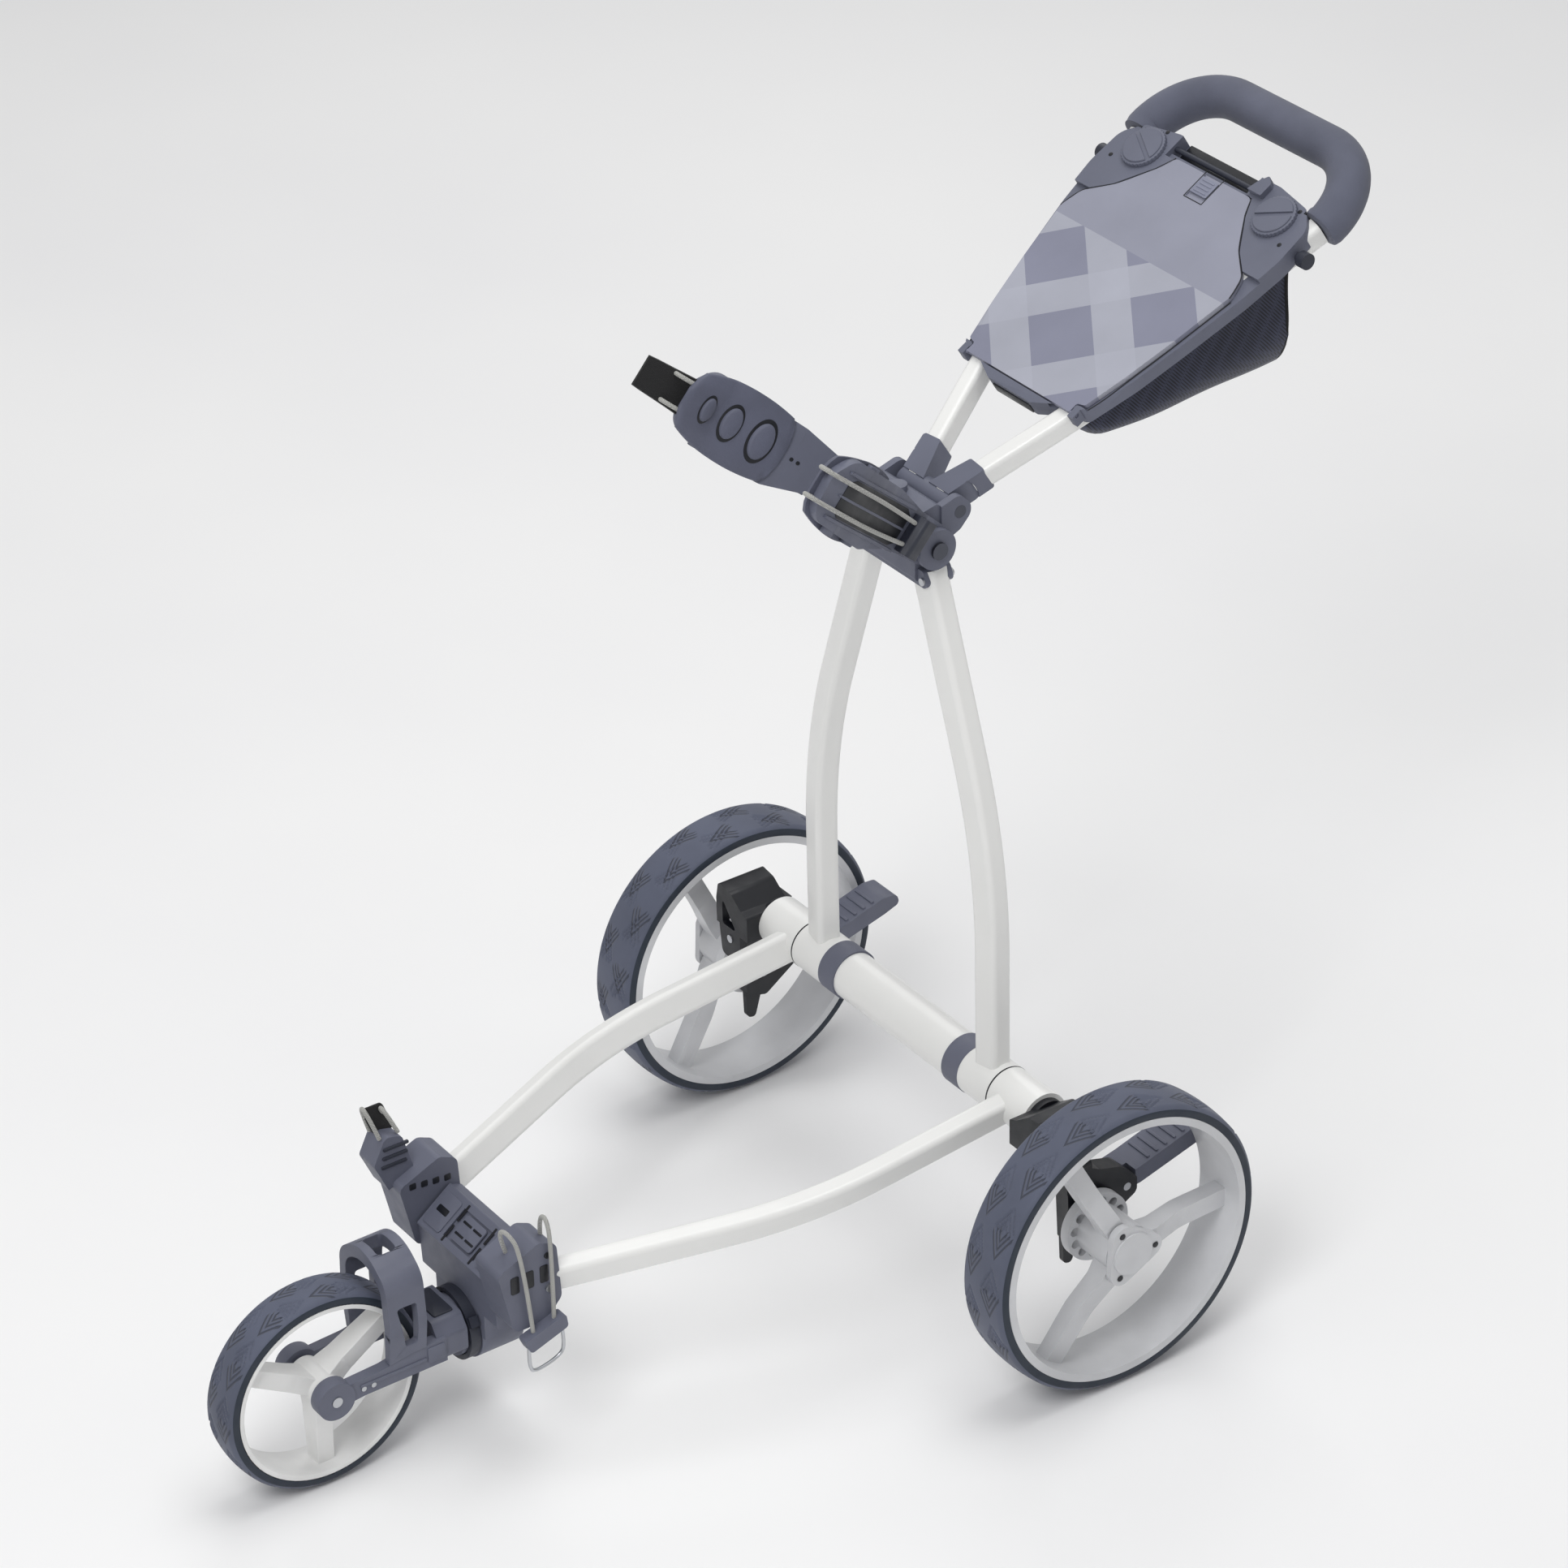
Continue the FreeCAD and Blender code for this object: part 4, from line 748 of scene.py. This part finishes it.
def cradle_pads():
    """Rubber pads with three oval bosses growing towards the root, and small lugs along their edges."""
    for side, sign in SIDES:
        def on_pad(along, height, out):
            return cradle(sign * (46.5 + arm_offset(along) - out), along, height)

        stations, rings, thick = 26, [], 4.0
        section = ((1, 0), (1, 0.7), (0.95, 1), (0.5, 1.05), (-0.5, 1.05), (-0.95, 1), (-1, 0.7), (-1, 0))
        for i in range(stations + 1):
            along = 95 + 105 * i / stations
            taper = math.sin(math.pi * min(1, 0.24 + 0.62 * (i / stations))) ** 0.5
            ends = min(1.0, math.sqrt(max(0.02, min(i, stations - i) / 3.2)))
            half = 36 * taper * min(1.0, ends + 0.25)
            ring = []
            for a, b in section:
                ring.append(on_pad(along, half * a, thick * b * (0.98 if 0 < i < stations else 0.6)))
            rings.append(ring)
        verts, faces = closed_loft(rings)
        pad = piece("cradle_pad_" + side, verts, faces, PAD, "cradle", "pad_rubber", crease=55)
        if side == "left":
            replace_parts(pad, "cradle_pads")
        bosses = []
        ovals = ((119, 9.5, 17), (149, 8, 14.5), (175, 6, 11))

        def oval(along, half_u, half_v, levels):
            rings = []
            for shrink, out in levels:
                rings.append([
                    on_pad(
                        along + half_u * shrink * math.cos(2 * math.pi * k / 36),
                        half_v * shrink * math.sin(2 * math.pi * k / 36),
                        out,
                    )
                    for k in range(36)
                ])
            return closed_loft(rings)

        # Black rings just wider than the bosses: painted shade in the grooves round them.
        dark = [oval(*shape, ((1.24, 3.2), (1.24, 4.35), (1.2, 4.5))) for shape in ovals]
        piece("cradle_boss_groove_shade_" + side, *joined(dark), MOULDED_BLACK, "cradle", "pad_rubber")
        bosses = [oval(*shape, ((1.0, 3.2), (1.0, 5.6), (0.94, 6.6), (0.8, 7.2))) for shape in ovals]
        piece("cradle_bosses_" + side, *joined(bosses), PAD, "cradle", "pad_rubber")
        lugs, dots = [], []
        for along, height in ((118, 33), (160, 33), (146, -33)):
            lugs.append(box_lug(sign, along, height))
        piece("cradle_lugs_" + side, *joined(lugs), MOULDED, "cradle", "moulded_grey")
        for along in (78, 85):
            dots.append(oval(along, 1.8, 1.8, ((1.0, -1.0), (1.0, 0.4), (0.8, 0.6))))
        piece("cradle_dots_" + side, *joined(dots), MOULDED_BLACK, "cradle", "moulded_grey")


def arm_rails_and_channel_shades():
    """Raised rails down the outer face of each cradle arm, under the cords, and a black sheet of painted
    shade in the recessed channel between them.
    """
    for side, sign in SIDES:
        def on_face(along, height, out):
            return cradle(sign * (56.5 + arm_offset(along) + out), along, height)

        def run(low, high, centre, half, rise):
            shoulder = rise * 0.6
            section = ((-1, -0.8), (-1, shoulder), (-0.85, rise), (0.85, rise), (1, shoulder), (1, -0.8))
            rings = []
            for k in range(15):
                along = low + (high - low) * k / 14
                ends = 0.75 if k in (0, 14) else 1.0
                rings.append([on_face(along, centre + half * ends * a, out) for a, out in section])
            return closed_loft(rings)

        # Painted shade: a black sheet where the recessed channel falls dark.
        piece("arm_channel_shade_" + side, *run(54, 172, 0, 18, 0.5), MOULDED_BLACK, "cradle", "moulded_black")
        rails = [run(52, 178, centre, 1.6, 2.2) for centre in (21, -21)]
        rails.append(run(52, 176, 0, 1.2, 1.4))
        piece("arm_rails_" + side, *joined(rails), MOULDED, "cradle", "moulded_grey")


def cords():
    """Elastic cords of the upper cradle and the lower rest, on the routes of their solids."""
    upper = []
    for height in (13, -13):
        for _, sign in SIDES:
            route = [
                (98.5, 192, height), (102, 213, height), (116, 210, height),
                (112, 168, height), (92, 105, height), (70, 48.2, height * 0.8),
            ]
            upper.append([cradle(sign * x, along, up) for x, along, up in route])
    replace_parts(wire("cradle_elastics", upper, 2.0, CORD, "cradle"), "cradle_cords")

    routes = [
        [(82, -497, 220.4), (84, -505, 246), (97, -504, 254), (106, -495, 232), (106, -488, 144.8)],
        [(82, -461, 223), (85, -463, 246), (97, -463, 251), (106, -465, 228), (106, -466, 150.6)],
    ]
    for y, top in ((-529, 291), (-510, 284)):
        routes.append([(-97, y + 6, 259.5), (-94, y - 4, top), (-83, y - 4, top), (-80, y + 6, 259.5)])
    lower = [[axle(*point) for point in route] for route in routes]
    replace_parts(wire("lower_elastics", lower, 2.0, CORD, "base"), "lower_cords")
    loop = [
        (108, -494, 134), (109, -496, 112), (109, -490, 104), (109, -464, 110), (109, -458, 120),
        (108, -460, 141),
    ]
    wire("lower_wire_loop", [[axle(*point) for point in loop]], 1.7, STEEL, "base")


def strap():
    """The loose tip of the bag strap, folded over the right arm's end."""
    line = [(-101, 188), (-107, 199), (-110, 214), (-113, 232), (-115, 242)]
    rings = []
    for i, (x, along) in enumerate(line):
        half = 18 - 0.8 * i
        rings.append([
            cradle(x - 0.9 + side * 1.8, along, up * half)
            for up, side in ((-1, 0), (-0.96, 1), (0.96, 1), (1, 0), (0.96, -0.2), (-0.96, -0.2))
        ])
    verts, faces = closed_loft(rings)
    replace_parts(piece("strap_tip", verts, faces, WEB, "cradle", "strap_web", crease=60), "cradle_strap")


# ---------------------------------------------------------------- base, pedals and front


def pedal_ribs():
    for side, sign in SIDES:
        def on_pedal(u, v, out):
            """Across, towards the tip, and up from the tread's sloping top."""
            slope = math.atan2(18, 64)
            return axle(
                sign * (239.5 + u),
                62 + v * math.cos(slope) - out * math.sin(slope),
                172 + v * math.sin(slope) + out * math.cos(slope),
            )

        places = [(0, 14 + 10.5 * k) for k in range(5)]
        ribs = [rounded_plate(on_pedal, place, 14.5, 1.6, 1.2, -1.0, 1.5, 0.5, 3) for place in places]
        piece("pedal_ribs_" + side, *joined(ribs), MOULDED, "brake_pedal_" + side, "moulded_grey")


def lower_bracket_details():
    """Raised panels, slots and screws on the lower rest and its wings; the slots are black plates of painted
    shade.
    """
    slope = math.atan2(28, 37)

    def on_cover(u, v, out):
        """Across, up the slope from the cover's low edge, and out of its face."""
        return axle(
            u,
            -503 + v * math.cos(slope) - out * math.sin(slope),
            172 + v * math.sin(slope) + out * math.cos(slope),
        )

    panels = [rounded_plate(on_cover, (x, 23), 13.5, 17, 3, -0.5, 1.4, 0.5, 4) for x in (43, -43)]
    panels.append(rounded_plate(on_cover, (0, 23), 16, 13, 3, -0.5, 1.2, 0.5, 4))
    piece("cover_panels", *joined(panels), MOULDED, "base", "moulded_grey")
    # Black plates in the slots, bars and gaps: painted shade in these openings and grooves.
    slots = [rounded_plate(on_cover, (x, 24), 8, 3.2, 1.5, 0.2, 1.7, 0.2, 4) for x in (43, -43)]
    bars = [(x, v) for x in (8, -8) for v in (17, 29)]
    slots += [rounded_plate(on_cover, place, 6.5, 1.2, 0.8, 0.2, 1.6, 0.2, 4) for place in bars]
    gaps = [(x, v) for x in (22, -22) for v in (12, 34)]
    slots += [rounded_plate(on_cover, place, 1.3, 9, 0.8, 0.0, 0.5, 0.2, 4) for place in gaps]
    piece("cover_slot_shade", *joined(slots), MOULDED_BLACK, "base", "moulded_black")
    # Black plates on the wings: painted shade in their slots.
    ribs = []
    for _, sign in SIDES:
        for k in range(4):
            def on_wing(u, v, out, sign=sign):
                """Along Y, up, and out of a wing's inner face."""
                return axle(sign * (62 - out), u, v)

            place = (-503 + 12 * k, 210 - 1.5 * k)
            ribs.append(rounded_plate(on_wing, place, 3.4, 3.2, 1.2, -0.5, 0.5, 0.2, 3))
        for k in range(3):
            def on_flank(u, v, out, sign=sign):
                """Along Y, up, and out of a wing's outer face."""
                return axle(sign * (100 + out), u, v)

            if sign > 0:
                ribs.append(rounded_plate(on_flank, (-500 + 15 * k, 196), 4.4, 9, 2, -0.5, 0.5, 0.2, 3))
            else:
                ribs.append(rounded_plate(on_flank, (-485 + 11 * k, 190), 3.2, 11, 2, -0.5, 0.5, 0.2, 3))
    piece("wing_slot_shade", *joined(ribs), MOULDED_BLACK, "base", "moulded_black")
    heads = []
    for _, sign in SIDES:
        def on_outside(u, v, out, sign=sign):
            """Along Y, up, and out of a wing's outer face."""
            return axle(sign * (100 + out), u, v)

        heads.append(disc(on_outside, (-466, 214), 3.2, -0.5, 1.2, 0.4, 20))
    piece("wing_screws", *joined(heads), MOULDED_BLACK, "base", "moulded_black")


def sleeve_gaps():
    """The dark joint lines between the mast's and the base's sleeves on the cross tube."""
    for side, sign in SIDES:
        verts, steps = [], 72
        for k in range(steps):
            angle = 2 * math.pi * k / steps
            for across, reach in ((-0.8, 23.4), (-0.8, 24.62), (0.8, 24.62), (0.8, 23.4)):
                verts.append(axle(
                    sign * (151.8 + across), -6 + reach * math.cos(angle), 225.3 + reach * math.sin(angle)
                ))
        ring = grid_faces(steps, 4, True, True)
        piece("sleeve_gap_" + side, verts, ring, MOULDED_BLACK, "base", "moulded_black")


def buckle_details():
    """Ribs on the upright buckle and the webbing tip that stands out of its top."""
    def on_inner(u, v, out):
        return axle(-75 + out, u, v)

    places = [(-513 + 1.5 * k, 232 + 9 * k) for k in range(3)]
    ribs = [rounded_plate(on_inner, place, 13, 1.6, 1.2, -0.6, 1.5, 0.4, 3) for place in places]
    piece("buckle_ribs", *joined(ribs), MOULDED_DARK, "base", "moulded_grey")

    def on_tip(u, v, out):
        return axle(-92 + out - 0.1 * (v - 262), u - 0.35 * (v - 262), v)

    tip = rounded_plate(on_tip, (-513, 272), 11, 14, 3, -0.9, 0.9, 0.3, 4)
    piece("buckle_webbing", *tip, WEB, "base", "strap_web")


def fork_details():
    """A blank plate on the fork's top, ribs and screw heads on its arms."""
    def on_top(u, v, out):
        return axle(u, v, 130 + out)

    plate = rounded_plate(on_top, (0, -527), 20, 10, 2, -0.5, 1.6, 0.5, 4)
    piece("fork_plate", *plate, MOULDED_DARK, "fork", "moulded_grey")
    rails, heads = [], []
    for _, sign in SIDES:
        def on_side(u, v, out, sign=sign):
            return axle(sign * (36 + out), u, v)

        rails.append(rounded_plate(on_side, (-590, 104), 34, 1.6, 1.2, -0.4, 1.2, 0.4, 3))
        rails.append(rounded_plate(on_side, (-546, 106), 9, 8, 2, -0.4, 1.2, 0.4, 3))
        for y in (-621, -611):
            heads.append(disc(on_side, (y, 101), 2.6, -0.4, 1.3, 0.4, 18))
    piece("fork_rails", *joined(rails), MOULDED, "fork", "moulded_grey")
    piece("fork_screws", *joined(heads), STEEL, "fork", "steel")


def studio():
    """A pale floor, soft studio light and a camera at the photograph's viewing angle."""
    ground = bpy.data.meshes.new("floor")
    reach = 30.0
    corners = ((-1, -1), (1, -1), (1, 1), (-1, 1))
    ground.from_pydata([(a * reach, b * reach, -0.0005) for a, b in corners], [], [(0, 1, 2, 3)])
    floor = bpy.data.objects.new("floor", ground)
    bpy.context.scene.collection.objects.link(floor)
    made = Shader("floor_paper", 0.9)
    tone = made.spread(made.noise(1.2, 4.0), 0.3, 0.7, 0.0, 1.0)
    made.colour(made.mix(tone, rgba(244, 244, 245), rgba(249, 249, 249)))
    ground.materials.append(made.material)

    world = bpy.data.worlds.new("studio")
    world.use_nodes = True
    world.node_tree.nodes["Background"].inputs["Color"].default_value = (1.0, 1.0, 1.0, 1.0)
    world.node_tree.nodes["Background"].inputs["Strength"].default_value = 0.42
    bpy.context.scene.world = world
    for name, place, size, power in (
        ("key", (1.6, -2.4, 3.6), 1.6, 62.0),
        ("rim", (-2.6, 1.8, 2.8), 2.0, 20.0),
        ("top", (0.3, 0.4, 4.6), 2.6, 66.0),
    ):
        light = bpy.data.lights.new(name, "AREA")
        light.size = size
        light.energy = power
        lamp = bpy.data.objects.new(name, light)
        lamp.location = place
        lamp.rotation_euler = (Vector((0, 0, 0.4)) - Vector(place)).to_track_quat("-Z", "Y").to_euler()
        bpy.context.scene.collection.objects.link(lamp)
    bpy.context.scene.view_settings.view_transform = "Standard"

    camera = bpy.data.cameras.new("camera")
    camera.lens = 125.7
    camera.sensor_width = 36.0
    camera.clip_end = 100.0
    eye = bpy.data.objects.new("camera", camera)
    yaw, pitch, roll = math.radians(55.82), math.radians(31.19), math.radians(-1.55)
    turn = Matrix.Rotation(yaw, 4, "Z") @ Matrix.Rotation(math.pi / 2 - pitch, 4, "X")
    turn = turn @ Matrix.Rotation(roll, 4, "Z")
    eye.matrix_world = Matrix.Translation(axle(3405, -2449, 3014)) @ turn
    bpy.context.scene.collection.objects.link(eye)
    bpy.context.scene.camera = eye


paint_nodes()
for node_name in (
    "lower_bracket", "lower_cover", "mast_head", "handle_hinge", "console_base", "console_lid", "fork",
    "mudguard",
    "brake_pedal_left", "brake_pedal_right", "axle_bracket_left", "axle_bracket_right", "wheel_arm_left",
    "wheel_arm_right", "cradle_arm_left", "cradle_arm_right", "cradle_clips", "lower_buckles", "lid_latch",
    "hub_cap_left", "hub_cap_right", "rear_rim_left", "rear_rim_right", "front_rim", "fold_button",
):
    soften(node_name, 1.1)
wheels()
hub_details()
grip()
net_bag()
console_details()
lid_seam()
cradle_pads()
arm_rails_and_channel_shades()
cords()
strap()
pedal_ribs()
lower_bracket_details()
sleeve_gaps()
buckle_details()
fork_details()
studio()
